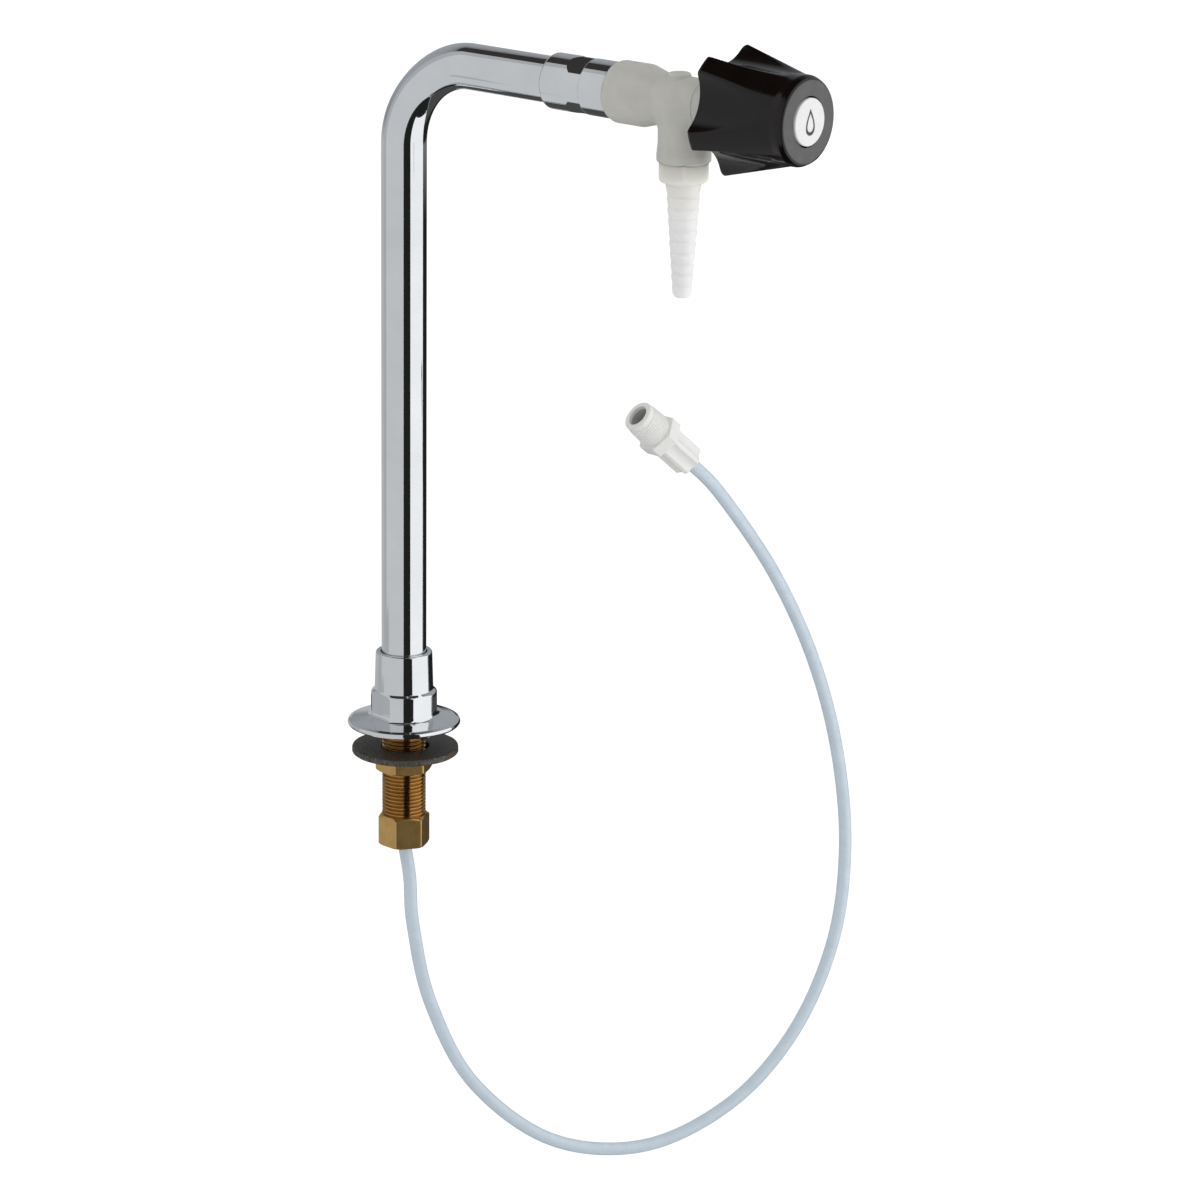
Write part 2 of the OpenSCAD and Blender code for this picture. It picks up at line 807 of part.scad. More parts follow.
module supply_tube() {
    last = len(route) - 2;
    spots = concat(
        [for (i = [0:last - 1]) for (k = [0:tube_steps - 1]) spot(route, i, k / tube_steps)],
        [for (k = [0:tube_steps - 1]) conn_pos + conn_dir * conn_insert * k / tube_steps],
        [route[last + 1]]
    );
    ways = concat(
        [[0, 0, -1]],
        [
            for (i = [0:last])
                for (k = [0:tube_steps - 1])
                    if (i + k > 0)
                        i == last ? conn_dir : unit(way(route, i, k / tube_steps))
        ],
        [conn_dir]
    );
    side = [0.62, -0.78, 0];
    n = len(spots);
    points = [
        for (j = [0:n - 1])
            let (u = unit(cross(ways[j], side)), w = cross(u, ways[j]))
            for (s = [0:tube_sides - 1])
                spots[j] + tube_r * (cos(s * 360 / tube_sides) * u + sin(s * 360 / tube_sides) * w)
    ];
    walls = [
        for (j = [0:n - 2])
            for (s = [0:tube_sides - 1])
                let (a = j * tube_sides + s, b = j * tube_sides + (s + 1) % tube_sides)
                [a, b, b + tube_sides, a + tube_sides]
    ];
    ends = [
        [for (s = [tube_sides - 1:-1:0]) s],
        [for (s = [0:tube_sides - 1]) (n - 1) * tube_sides + s]
    ];
    color("aliceblue")
        polyhedron(points = points, faces = concat(walls, ends));
}

module connector_body() {
    top = conn_nut + 0.3;
    hex_top = top + conn_hex;
    far = hex_top + conn_thread;
    count = floor((conn_thread - 3.2) / conn_pitch);
    taper = conn_thread / 32;
    color("white")
        on_connector()
            difference() {
                union() {
                    rotate([0, 0, conn_hex_turn])
                        hexagon(conn_af, top, hex_top);
                    translate([0, 0, 9])
                        cylinder(r = conn_stub_r, h = top - 8.5);
                    rotate_extrude()
                        polygon(concat(
                            [[0, top + 1], [conn_d / 2 - 0.6, top + 1], [conn_d / 2 - 0.6, hex_top + 1.4]],
                            ridges(hex_top + 1.4, conn_pitch, count, conn_d / 2, conn_d / 2 - taper, 0.55),
                            [
                                [conn_d / 2 - taper - 0.75, far - 1.6],
                                [conn_d / 2 - taper - 1.2, far - 0.5],
                                [conn_d / 2 - taper - 1.7, far], [0, far]
                            ]
                        ));
                }
                translate([0, 0, 8])
                    cylinder(r = tube_r + fit_gap, h = conn_insert - 8);
                translate([0, 0, 8])
                    cylinder(r = tube_bore_r, h = far);
                translate([0, 0, hex_top + 2])
                    cylinder(r = conn_d / 2 - conn_wall, h = conn_thread);
            }
}

module connector_nut() {
    color("white")
        on_connector()
            difference() {
                cylinder(r = conn_nut_r, h = conn_nut);
                for (i = [0:5])
                    rotate([0, 0, i * 60 + conn_flute_turn])
                        translate([conn_nut_r - conn_scoop + 5.5, 0, -1])
                            cylinder(r = 5.5, h = conn_nut + 2);
                translate([0, 0, -1])
                    cylinder(r = tube_r + fit_gap, h = conn_nut);
                translate([0, 0, 4])
                    cylinder(r = conn_stub_r + fit_gap, h = conn_nut);
            }
}

module connector_ferrule() {
    color("white")
        on_connector()
            difference() {
                rotate_extrude()
                    polygon([
                        [tube_r + fit_gap, 4], [conn_stub_r, 4], [conn_stub_r, 6],
                        [tube_r + 1, 9], [tube_r + fit_gap, 9]
                    ]);
            }
}

deck_flange();
shank();
deck_washer();
lock_nut();
gland_fitting();
gland_sleeve();
gooseneck_pipe();
riser_tube();
pipe_coupling();
coupling_seal();
valve_body();
bonnet();
bonnet_ring();
stem();
stem_ring();
plunger();
seat_washer();
nozzle();
nozzle_ring();
knob();
knob_screw();
index_button();
supply_tube();
connector_body();
connector_nut();
connector_ferrule();
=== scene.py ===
"""Looks of a laboratory gooseneck tap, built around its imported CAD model."""

import math

import bpy
import numpy as np
from mathutils import Matrix, Vector


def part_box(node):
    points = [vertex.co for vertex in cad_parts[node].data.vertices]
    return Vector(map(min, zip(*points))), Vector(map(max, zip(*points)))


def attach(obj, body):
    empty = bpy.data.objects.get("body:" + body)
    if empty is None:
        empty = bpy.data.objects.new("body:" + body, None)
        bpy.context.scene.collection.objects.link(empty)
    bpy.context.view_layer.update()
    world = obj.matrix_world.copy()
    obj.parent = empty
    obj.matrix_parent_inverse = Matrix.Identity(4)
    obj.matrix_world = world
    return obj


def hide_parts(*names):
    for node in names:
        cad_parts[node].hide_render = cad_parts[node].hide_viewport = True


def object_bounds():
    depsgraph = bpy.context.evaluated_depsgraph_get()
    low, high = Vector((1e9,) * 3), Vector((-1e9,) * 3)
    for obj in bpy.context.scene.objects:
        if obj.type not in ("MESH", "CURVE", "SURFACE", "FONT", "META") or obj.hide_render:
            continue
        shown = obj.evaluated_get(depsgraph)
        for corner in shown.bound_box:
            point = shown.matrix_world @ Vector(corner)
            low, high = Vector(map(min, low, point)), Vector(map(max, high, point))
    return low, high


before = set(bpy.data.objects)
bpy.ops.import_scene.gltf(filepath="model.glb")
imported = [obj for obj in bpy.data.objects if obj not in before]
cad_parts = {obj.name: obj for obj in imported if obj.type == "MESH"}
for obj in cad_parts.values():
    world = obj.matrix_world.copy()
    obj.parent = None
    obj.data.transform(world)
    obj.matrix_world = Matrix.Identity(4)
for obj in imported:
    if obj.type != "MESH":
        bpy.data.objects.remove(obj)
cad_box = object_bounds()

MM = 0.001

# Sizes in millimetres, as in the part's source or fitted more closely to the photograph
PIPE_R = 10.65
PIPE_WALL = 2.75
BEND_R = 41.0
BEND_FLAT = 0.15
FLANGE_R = 27.0
RIM_H = 2.8
CROWN_H = 4.6
HUB_R = 15.75
HUB_FLAT_R = 14.05
HUB_H = 17.4
HUB_FLARE = 2.2
HUB_TURN = 79.0
COLLAR_R = 13.95
COLLAR_TOP_R = 13.45
SHANK_R = 10.45
SHANK_BORE = 7.5
SHANK_PITCH = 1.814
SHANK_DEPTH = 0.95
HEX_TURN = 53.0
LOCK_NUT_AF = 24.1
GLAND_AF = 21.8
WASHER_HOLE = 11.5
COUPLING_R = 12.85
COUPLING_RING = 13.0
COUPLING_FLATS = 10.0
COUPLING_BARREL = 13.5
COUPLING_AF = 22.5
COUPLING_TURN = 57.0
SPIGOT_R = 9.5
SPIGOT_LEN = 14.0
BOSS_R = 14.2
BOSS_LEN = 17.0
TAPER_LEN = 9.5
CHAMBER_R = 11.4
CHAMBER_BORE = 7.6
BODY_LEN = 49.5
OUTLET_R = 12.0
OUTLET_DROP = 27.0
OUTLET_BORE = 4.0
SOCKET_R = 8.05
SOCKET_DEPTH = 11.0
PAD_R = 5.1
PAD_H = 1.3
PAD_BACK = 3.0
BONNET_LEN = 12.5
BONNET_NECK = 5.5
BONNET_SPIGOT = 6.4
STEM_R = 4.0
NOZZLE_AF = 22.2
NOZZLE_TURN = 8.5
NOZZLE_COLLAR = 9.0
BARB_COUNT = 9
BARB_PITCH = 5.08
BARB_R = 7.4
TIP_R = 4.6
KNOB_R = 30.3
KNOB_FRONT_R = 20.4
LOBE_LEN = 36.0
LOBE_COUNT = 5
HOLLOW_R = 18.0
LOBE_TURN = 147.0
BUTTON_R = 10.7
BUTTON_T = 3.2
TUBE_R = 3.175
CONN_AF = 18.6
CONN_HEX = 5.8
CONN_THREAD = 14.6
CONN_TAPER = 1 / 32
CONN_R = 8.55
CONN_PITCH = 1.411
CONN_DEPTH = 0.42
CONN_BORE = 5.1
CONN_STUB_R = 6.05
CONN_NUT_R = 8.0
CONN_NUT = 18.7
CONN_POS = (83.0, 111.6, 121.4)
CONN_LEAN = 48.0
CONN_TURN = 251.0
CONN_INSERT = 14.0
CONN_HEX_TURN = 34.7
CONN_FLUTES = 6
CONN_FLUTE_TURN = 10.4
FIT = 0.05


def span(node):
    """Lowest and highest corner of a CAD node in millimetres."""
    low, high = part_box(node)
    return low / MM, high / MM


# Places read from the frame, in millimetres
ARM_Z = (span("index_button")[0].z + span("index_button")[1].z) / 2
PIPE_FOOT = span("gooseneck_pipe")[0].z
PIPE_END = span("gooseneck_pipe")[1].x
COLLAR_H = span("deck_flange")[1].z
SHANK_FOOT, SHANK_TOP = span("shank")[0].z, span("shank")[1].z
WASHER_LOW, WASHER_HIGH = span("deck_washer")
NUT_FOOT, NUT_TOP = span("lock_nut")[0].z, span("lock_nut")[1].z
GLAND_FOOT, GLAND_TOP = span("gland_fitting")[0].z, span("gland_fitting")[1].z
COUPLING_X = span("pipe_coupling")[0].x
BODY_X = span("valve_body")[0].x
OUTLET_X = (span("nozzle")[0].x + span("nozzle")[1].x) / 2
NOZZLE_TIP = span("nozzle")[0].z
KNOB_X, KNOB_END = span("knob")[0].x, span("knob")[1].x
BUTTON_END = span("index_button")[1].x

# Tube route in millimetres, as in the part's source
ROUTE = [
    (0, 0, GLAND_FOOT), (1.8, 2.1, -78), (2.2, 4.2, -103), (5, 14, -145), (15.5, 34.5, -190.5),
    (37, 69.5, -225.5), (63, 111, -234.5), (86.5, 150, -217.5), (102, 180, -185), (109, 202, -142),
    (109, 211, -95), (104, 209.5, -45), (98.5, 195.5, 5), (92.5, 169.5, 54.5), (89, 130, 102), CONN_POS,
]

# Camera fitted to the photograph
IMAGE_PX = 1200
FOCAL_PX = 5500
SENSOR_MM = 36.0
CAMERA_AT = (1.6316, -1.9002, 0.7996)
CAMERA_AZIMUTH = 38.523
CAMERA_PITCH = 16.415
CAMERA_ROLL = 0.597
CAMERA_CLIP = (0.05, 60.0)

# Studio, in metres
FLOOR_GAP = 0.02
CARD_GAP = 0.01
CARD_REACH = 0.85
CARD_STEP_DEG = 4
LIGHT_AIM = (0.1, 0.05, 0.1)

# Looks; a noise is used over the middle span of its values
PLASTIC_IOR = 1.49
NOISE_SPAN = (0.3, 0.7)

# Shapes; a thread ridge has (share of the pitch, 0 at the crest and 1 at the root)
HEX_SIDES = 6
HEX_HALF = 180 / HEX_SIDES
FAR_OUT = 60
THREAD_RIDGE = ((0.04, 1), (0.37, 0), (0.63, 0), (0.96, 1))
THREAD_ROUND = 0.07
STRAIGHT = math.radians(89)


def outward(azimuth, elevation):
    """Unit vector from the tap in a direction given in degrees."""
    a, e = math.radians(azimuth), math.radians(elevation)
    return Vector((math.sin(a) * math.cos(e), -math.cos(a) * math.cos(e), math.sin(e)))


def add_camera():
    """Camera at the photograph's place, looking down at the tap."""
    a, roll = math.radians(CAMERA_AZIMUTH), math.radians(CAMERA_ROLL)
    back = outward(CAMERA_AZIMUTH, CAMERA_PITCH)
    side = Vector((math.cos(a), math.sin(a), 0))
    rise = back.cross(side)
    right = side * math.cos(roll) + rise * math.sin(roll)
    up = back.cross(right)
    data = bpy.data.cameras.new("camera")
    data.sensor_width = SENSOR_MM
    data.lens = FOCAL_PX * SENSOR_MM / IMAGE_PX
    data.clip_start, data.clip_end = CAMERA_CLIP
    camera = bpy.data.objects.new("camera", data)
    camera.matrix_world = Matrix((
        (right.x, up.x, back.x, CAMERA_AT[0]),
        (right.y, up.y, back.y, CAMERA_AT[1]),
        (right.z, up.z, back.z, CAMERA_AT[2]),
        (0, 0, 0, 1),
    ))
    bpy.context.scene.collection.objects.link(camera)
    bpy.context.scene.camera = camera


# Materials


class Paint:
    """A node material with short calls for the textures that it mixes."""

    def __init__(self, name):
        self.material = bpy.data.materials.new(name)
        self.material.use_nodes = True
        self.nodes = self.material.node_tree.nodes
        self.links = self.material.node_tree.links
        self.shader = self.nodes["Principled BSDF"]
        self.place = self.nodes.new("ShaderNodeTexCoord").outputs["Object"]

    def set(self, **values):
        for name, value in values.items():
            self.shader.inputs[name.replace("_", " ")].default_value = value
        return self

    def stretch(self, scale):
        """Coordinates scaled per axis, so that a texture runs in streaks."""
        node = self.nodes.new("ShaderNodeMapping")
        node.inputs["Scale"].default_value = scale
        self.links.new(self.place, node.inputs["Vector"])
        return node.outputs["Vector"]

    def noise(self, size_mm, detail=3.0, rough=0.55, where=None):
        """Noise with patches of about that size."""
        node = self.nodes.new("ShaderNodeTexNoise")
        node.inputs["Scale"].default_value = 1 / (size_mm * MM)
        node.inputs["Detail"].default_value = detail
        node.inputs["Roughness"].default_value = rough
        self.links.new(where or self.place, node.inputs["Vector"])
        return node.outputs["Fac"]

    def ramp(self, source, stops):
        """Colours along a 0 to 1 value."""
        node = self.nodes.new("ShaderNodeValToRGB")
        while len(node.color_ramp.elements) < len(stops):
            node.color_ramp.elements.new(0.5)
        for element, (at, colour) in zip(node.color_ramp.elements, stops):
            element.position = at
            element.color = (*colour, 1)
        self.links.new(source, node.inputs["Fac"])
        return node.outputs["Color"]

    def between(self, source, low, high):
        """A value mapped from the middle of a noise to low and high."""
        node = self.nodes.new("ShaderNodeMapRange")
        limits = {"From Min": NOISE_SPAN[0], "From Max": NOISE_SPAN[1], "To Min": low, "To Max": high}
        for name, value in limits.items():
            node.inputs[name].default_value = value
        self.links.new(source, node.inputs["Value"])
        return node.outputs["Result"]

    def height(self, low, high):
        """Height in metres, mapped to 0 at low and 1 at high."""
        split = self.nodes.new("ShaderNodeSeparateXYZ")
        self.links.new(self.place, split.inputs["Vector"])
        node = self.nodes.new("ShaderNodeMapRange")
        node.inputs["From Min"].default_value = low
        node.inputs["From Max"].default_value = high
        self.links.new(split.outputs["Z"], node.inputs["Value"])
        return node.outputs["Result"]

    def colour(self, source):
        self.links.new(source, self.shader.inputs["Base Color"])
        return self

    def roughness(self, source):
        self.links.new(source, self.shader.inputs["Roughness"])
        return self

    def bump(self, source, height_mm):
        node = self.nodes.new("ShaderNodeBump")
        node.inputs["Strength"].default_value = 1.0
        node.inputs["Distance"].default_value = height_mm * MM
        self.links.new(source, node.inputs["Height"])
        self.links.new(node.outputs["Normal"], self.shader.inputs["Normal"])
        return self


def chrome(name, wave_mm, wave_height):
    """Bright plating with a faint waviness and slightly uneven polish."""
    p = Paint(name).set(Metallic=1.0)
    p.colour(p.ramp(p.noise(18), [(0.3, (0.77, 0.785, 0.80)), (0.7, (0.83, 0.84, 0.85))]))
    p.roughness(p.between(p.noise(1.2, detail=5), 0.035, 0.075))
    p.bump(p.noise(wave_mm, detail=1), wave_height)
    return p.material


def brass(name, tints, rough, streaks, streak_height):
    """Machined brass: faint patches of tarnish and fine cutting marks along one way."""
    p = Paint(name).set(Metallic=1.0)
    p.colour(p.ramp(p.noise(6.0, detail=4), [(0.28, tints[0]), (0.5, tints[1]), (0.74, tints[2])]))
    p.roughness(p.between(p.noise(2.0, detail=3), rough - 0.03, rough + 0.05))
    p.bump(p.noise(1.0, detail=3, where=p.stretch(streaks)), streak_height)
    return p.material


def worn_steel():
    """Dark rolled steel: pitted scale, bare bright specks and a trace of rust."""
    p = Paint("washer_steel").set(Metallic=0.6)
    grain = p.noise(0.9, detail=8, rough=0.72)
    scale = p.ramp(grain, [
        (0.36, (0.03, 0.029, 0.026)), (0.5, (0.085, 0.083, 0.074)), (0.64, (0.17, 0.167, 0.145)),
    ])
    rust = p.ramp(p.noise(8, detail=5), [(0.52, (0, 0, 0)), (0.7, (0.6, 0.6, 0.6))])
    mix = p.nodes.new("ShaderNodeMix")
    mix.data_type = "RGBA"
    p.links.new(rust, mix.inputs["Factor"])
    p.links.new(scale, mix.inputs["A"])
    mix.inputs["B"].default_value = (0.17, 0.082, 0.04, 1)
    p.colour(mix.outputs["Result"])
    p.roughness(p.between(grain, 0.62, 0.4))
    p.bump(grain, 0.16)
    return p.material


def plastic(name, light, dark, rough, grain_mm=0.5, grain_height=0.006, glow=0.0, depth_mm=2.5, shine=0.5):
    """Moulded plastic: cloudy tint, fine surface grain, some light let in."""
    p = Paint(name).set(IOR=PLASTIC_IOR, Specular_IOR_Level=shine)
    p.colour(p.ramp(p.noise(7, detail=3), [(0.3, dark), (0.7, light)]))
    p.roughness(p.between(p.noise(grain_mm * 3, detail=4), rough - 0.05, rough + 0.06))
    p.bump(p.noise(grain_mm, detail=3), grain_height)
    if glow:
        p.set(Subsurface_Weight=glow, Subsurface_Radius=(1.0, 0.92, 0.8), Subsurface_Scale=depth_mm * MM)
    return p.material


def bright_steel():
    """Plated screw steel with fine turning marks."""
    p = Paint("bright_steel").set(Metallic=1.0)
    p.colour(p.ramp(p.noise(2), [(0.3, (0.55, 0.55, 0.57)), (0.7, (0.66, 0.66, 0.68))]))
    p.roughness(p.between(p.noise(0.8, detail=4), 0.2, 0.32))
    p.bump(p.noise(0.4, detail=4), 0.01)
    return p.material


def nozzle_plastic():
    """The body's plastic on the nozzle, its colour painted paler and brighter towards the tip: painted
    light, standing in for light let through the thin plastic.
    """
    p = Paint("nozzle_plastic_painted_light").set(
        IOR=PLASTIC_IOR, Specular_IOR_Level=0.2,
        Subsurface_Weight=1.0, Subsurface_Radius=(1.0, 1.0, 0.96), Subsurface_Scale=5 * MM,
    )
    top = ARM_Z - OUTLET_DROP
    down = p.height(top * MM, (top - 3 * NOZZLE_COLLAR) * MM)
    # Painted light: the base colour brightens from the collar down to the tip
    p.colour(p.ramp(down, [
        (0.0, (0.66, 0.645, 0.585)), (0.3, (0.80, 0.79, 0.745)), (1.0, (0.94, 0.935, 0.905)),
    ]))
    p.roughness(p.between(p.noise(1.5, detail=4), 0.36, 0.46))
    p.bump(p.noise(0.5, detail=3), 0.006)
    return p.material


CHROME_PIPE = chrome("chrome_pipe", 9.0, 0.003)
CHROME_CAST = chrome("chrome_casting", 6.0, 0.005)
BRASS_THREAD = brass(
    "brass_thread", ((0.40, 0.215, 0.06), (0.48, 0.275, 0.085), (0.56, 0.34, 0.115)), 0.17, (1, 1, 6), 0.002
)
BRASS_NUT = brass(
    "brass_nut", ((0.55, 0.34, 0.115), (0.62, 0.39, 0.135), (0.68, 0.44, 0.165)), 0.33, (6, 6, 0.25), 0.001
)
WASHER = worn_steel()
STEEL = bright_steel()
# Same plastic as the nozzle, with a darker base colour for the thick body: painted shade
NATURAL = plastic("natural_plastic", (0.565, 0.56, 0.52), (0.525, 0.52, 0.48), 0.42, glow=0.55, depth_mm=5)
NOZZLE_PAINTED_LIGHT = nozzle_plastic()
CONNECTOR = plastic(
    "connector_plastic", (0.82, 0.825, 0.805), (0.79, 0.795, 0.77), 0.38, grain_height=0.001, glow=0.05
)
# Darker copy of the connector's plastic for the inside of the bore: painted shade
BORE = plastic("connector_bore_painted_shade", (0.50, 0.505, 0.47), (0.45, 0.455, 0.42), 0.5)
WHITE = plastic("white_plastic", (0.82, 0.82, 0.82), (0.79, 0.79, 0.79), 0.3, glow=0.1)
BLACK = plastic(
    "black_plastic", (0.0058, 0.0030, 0.0023), (0.0040, 0.0018, 0.0013), 0.14,
    grain_mm=0.35, grain_height=0.002, shine=0.4,
)
FACE = plastic(
    "face_satin", (0.095, 0.095, 0.097), (0.075, 0.075, 0.077), 0.46, grain_mm=0.3, grain_height=0.012
)
INK = plastic(
    "mark_ink", (0.06, 0.055, 0.05), (0.045, 0.04, 0.038), 0.5, grain_mm=0.3, grain_height=0.004
)
TUBE = plastic(
    "tube_plastic", (0.585, 0.67, 0.745), (0.545, 0.63, 0.705), 0.3,
    grain_mm=0.8, grain_height=0.003, glow=0.35, depth_mm=3,
)
RUBBER = plastic(
    "seal_rubber", (0.03, 0.03, 0.03), (0.02, 0.02, 0.02), 0.6, grain_mm=0.4, grain_height=0.02
)


# Mesh making


def weigh_normals(points, faces):
    """Corner normals weighted by the area of the faces round them."""
    a, b, c, d = (points[faces[:, i]] for i in range(4))
    areas = np.cross(c - a, d - b)
    normals = np.zeros_like(points)
    for i in range(4):
        np.add.at(normals, faces[:, i], areas)
    return normals / np.maximum(np.linalg.norm(normals, axis=1, keepdims=True), 1e-12)


def make(name, points, faces, material, body, node=None, place=None, normals=None):
    """A smooth piece from points in millimetres, placed in the frame and riding on a body."""
    if normals is None:
        normals = weigh_normals(points, faces)
    place = np.array(place or Matrix.Identity(4), float)
    points = points @ place[:3, :3].T + place[:3, 3]
    normals = normals @ place[:3, :3].T
    mesh = bpy.data.meshes.new(name)
    polygons = [[int(i) for i in dict.fromkeys(f)] for f in faces.tolist()]
    mesh.from_pydata((points * MM).tolist(), [], polygons)
    mesh.polygons.foreach_set("use_smooth", np.ones(len(mesh.polygons), bool))
    mesh.normals_split_custom_set_from_vertices(normals.tolist())
    mesh.materials.append(material)
    piece = bpy.data.objects.new(name, mesh)
    bpy.context.scene.collection.objects.link(piece)
    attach(piece, body)
    if node:
        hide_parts(node)
    return piece


def rounded(corners, steps=5):
    """A closed outline from (r, z, fillet) corners, each fillet drawn as an arc."""
    outline = []
    count = len(corners)
    for i, (r, z, fillet) in enumerate(corners):
        here = np.array((r, z), float)
        to_last = np.array(corners[i - 1][:2]) - here
        to_next = np.array(corners[(i + 1) % count][:2]) - here
        to_last /= np.linalg.norm(to_last)
        to_next /= np.linalg.norm(to_next)
        half = math.acos(max(-1.0, min(1.0, float(to_last @ to_next)))) / 2
        if fillet <= 0 or half > STRAIGHT:
            outline.append(here)
            continue
        middle = (to_last + to_next) / np.linalg.norm(to_last + to_next)
        centre = here + middle * fillet / math.sin(half)
        first = here + to_last * fillet / math.tan(half) - centre
        sweep = math.pi - 2 * half
        sign = math.copysign(1, first[0] * -middle[1] + first[1] * middle[0])
        for k in range(steps + 1):
            turn = sign * sweep * k / steps
            c, s = math.cos(turn), math.sin(turn)
            outline.append(centre + np.array((first[0] * c - first[1] * s, first[0] * s + first[1] * c)))
    return np.array(outline)


def split_long(outline, longest):
    """The same outline with its long stretches cut, so that a shape along them shows."""
    made = []
    for here, there in zip(outline, np.roll(outline, -1, axis=0)):
        parts = max(1, math.ceil(np.linalg.norm(there - here) / longest))
        made.extend(here + (there - here) * k / parts for k in range(parts))
    return np.array(made)


def turned(outline, segments, shape=None):
    """Points and faces of a closed (r, z) outline turned round z; shape gives r by angle."""
    turn = np.linspace(0, 2 * math.pi, segments, endpoint=False)[None, :]
    r = outline[:, 0][:, None] * np.ones_like(turn)
    z = outline[:, 1][:, None] * np.ones_like(turn)
    if shape:
        r = shape(turn, r, z)
    points = np.stack([r * np.cos(turn), r * np.sin(turn), z], axis=-1).reshape(-1, 3)
    return points, grid_faces(len(outline), segments)


def grid_faces(rows, columns):
    """Faces of a grid that closes on itself both ways."""
    i, j = (v.ravel() for v in np.meshgrid(np.arange(rows), np.arange(columns), indexing="ij"))
    up, on = (i + 1) % rows, (j + 1) % columns
    return np.stack([i * columns + j, i * columns + on, up * columns + on, up * columns + j], axis=1)


def soft_min(a, b, blend):
    """The smaller of two, rounded where they are within blend of each other."""
    h = np.maximum(blend - np.abs(a - b), 0) / blend
    return np.minimum(a, b) - h * h * blend / 4


def off_nearest(turn, count, turn_deg):
    """Angle from the nearest of some evenly spaced directions, the first at turn_deg."""
    step = 2 * math.pi / count
    return (turn - math.radians(turn_deg) + step / 2) % step - step / 2


def hexagon_reach(turn, across, corner_deg):
    """Distance from the axis to a hexagon's side, by angle; a corner lies at corner_deg."""
    return across / 2 / np.cos(off_nearest(turn, HEX_SIDES, corner_deg + HEX_HALF))


def hexagon_corner(across):
    """Distance from the axis to a hexagon's corner."""
    return across / 2 / math.cos(math.pi / HEX_SIDES)


def scallop_reach(turn, count, turn_deg, at, radius):
    """Distance from the axis to round hollows centred at a reach, by angle; far out between them."""
    local = off_nearest(turn, count, turn_deg)
    inside = np.maximum(radius ** 2 - (at * np.sin(local)) ** 2, 0)
    return np.where(inside > 0, at * np.cos(local) - np.sqrt(inside), FAR_OUT)


def ramp01(value, low, high):
    """0 below low and 1 above high, smooth between."""
    t = np.clip((value - low) / (high - low), 0, 1)
    return t * t * (3 - 2 * t)


def ridges(low, pitch, count, r_low, r_high, depth):
    """Corners of a run of thread ridges from low upwards, with slightly rounded crests and roots."""
    corners = []
    for i in range(count):
        r = r_low + (r_high - r_low) * (i + 0.5) / count
        for share, sunk in THREAD_RIDGE:
            corners.append((r - sunk * depth, low + pitch * (i + share), THREAD_ROUND * pitch))
    return corners


def paint_faces(piece, points, faces, material, chosen):
    """A second material on the faces whose middle is chosen by its radius and height."""
    middle = points[faces].mean(axis=1)
    mask = chosen(np.hypot(middle[:, 0], middle[:, 1]), middle[:, 2])
    piece.data.materials.append(material)
    piece.data.polygons.foreach_set("material_index", mask.astype(np.int32))


ON_ARM = Matrix.Translation((0, 0, ARM_Z)) @ Matrix.Rotation(math.pi / 2, 4, "Y")
ON_CONNECTOR = (
    Matrix.Translation(CONN_POS)
    @ Matrix.Rotation(math.radians(CONN_TURN), 4, "Z")
    @ Matrix.Rotation(math.radians(CONN_LEAN), 4, "Y")
)


# Cord


def add_tube():
    """Supply tube as one curve through the route and on into its connector."""
    ahead = np.array(ON_CONNECTOR)[:3, 2]
    points = [np.array(p, float) for p in ROUTE]
    inner = points[-1] + ahead * CONN_INSERT
    data = bpy.data.curves.new("supply_tube_run", "CURVE")
    data.dimensions = "3D"
    data.resolution_u = 14
    data.bevel_depth = TUBE_R * MM
    data.bevel_resolution = 10
    data.use_fill_caps = True
    spline = data.splines.new("BEZIER")
    spline.bezier_points.add(len(points))
    chain = [points[0], *points, inner, inner]
    for i, knot in enumerate(spline.bezier_points):
        here = chain[i + 1]
        pull = (chain[i + 2] - chain[i]) / 6
        if i == len(points):
            pull = ahead * CONN_INSERT / 3
        knot.co = here * MM
        knot.handle_left = (here - pull) * MM
        knot.handle_right = (here + pull) * MM
    data.materials.append(TUBE)
    piece = bpy.data.objects.new("supply_tube_run", data)
    bpy.context.scene.collection.objects.link(piece)
    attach(piece, "tap")
    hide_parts("supply_tube")
    return piece


# Pieces


def add_pipe():
    """Chromed pipe: riser, bend and arm, with its bore; the bend is flattened on its outside."""
    bend_steps, segments = 32, 96
    bend = np.linspace(0, math.pi / 2, bend_steps + 1)
    stations = [((0, 0, PIPE_FOOT), 0.0)]
    stations += [
        ((BEND_R - BEND_R * math.cos(a), 0, ARM_Z - BEND_R + BEND_R * math.sin(a)), a) for a in bend
    ]
    stations.append(((PIPE_END, 0, ARM_Z), math.pi / 2))
    turn = np.linspace(0, 2 * math.pi, segments, endpoint=False)
    rows = []
    for reach, order in ((PIPE_R, stations), (PIPE_R - PIPE_WALL, stations[::-1])):
        for centre, a in order:
            inward = np.array((math.cos(a), 0, -math.sin(a)))
            side = np.array((0, 1, 0))
            flat = 1 - BEND_FLAT * math.sin(2 * a) ** 2 * (np.cos(turn) < 0)
            rows.append(
                np.array(centre)
                + reach * ((flat * np.cos(turn))[:, None] * inward + np.sin(turn)[:, None] * side)
            )
    points = np.concatenate(rows)
    faces = grid_faces(len(rows), segments)
    make("chromed_pipe", points, faces, CHROME_PIPE, "tap", "gooseneck_pipe")


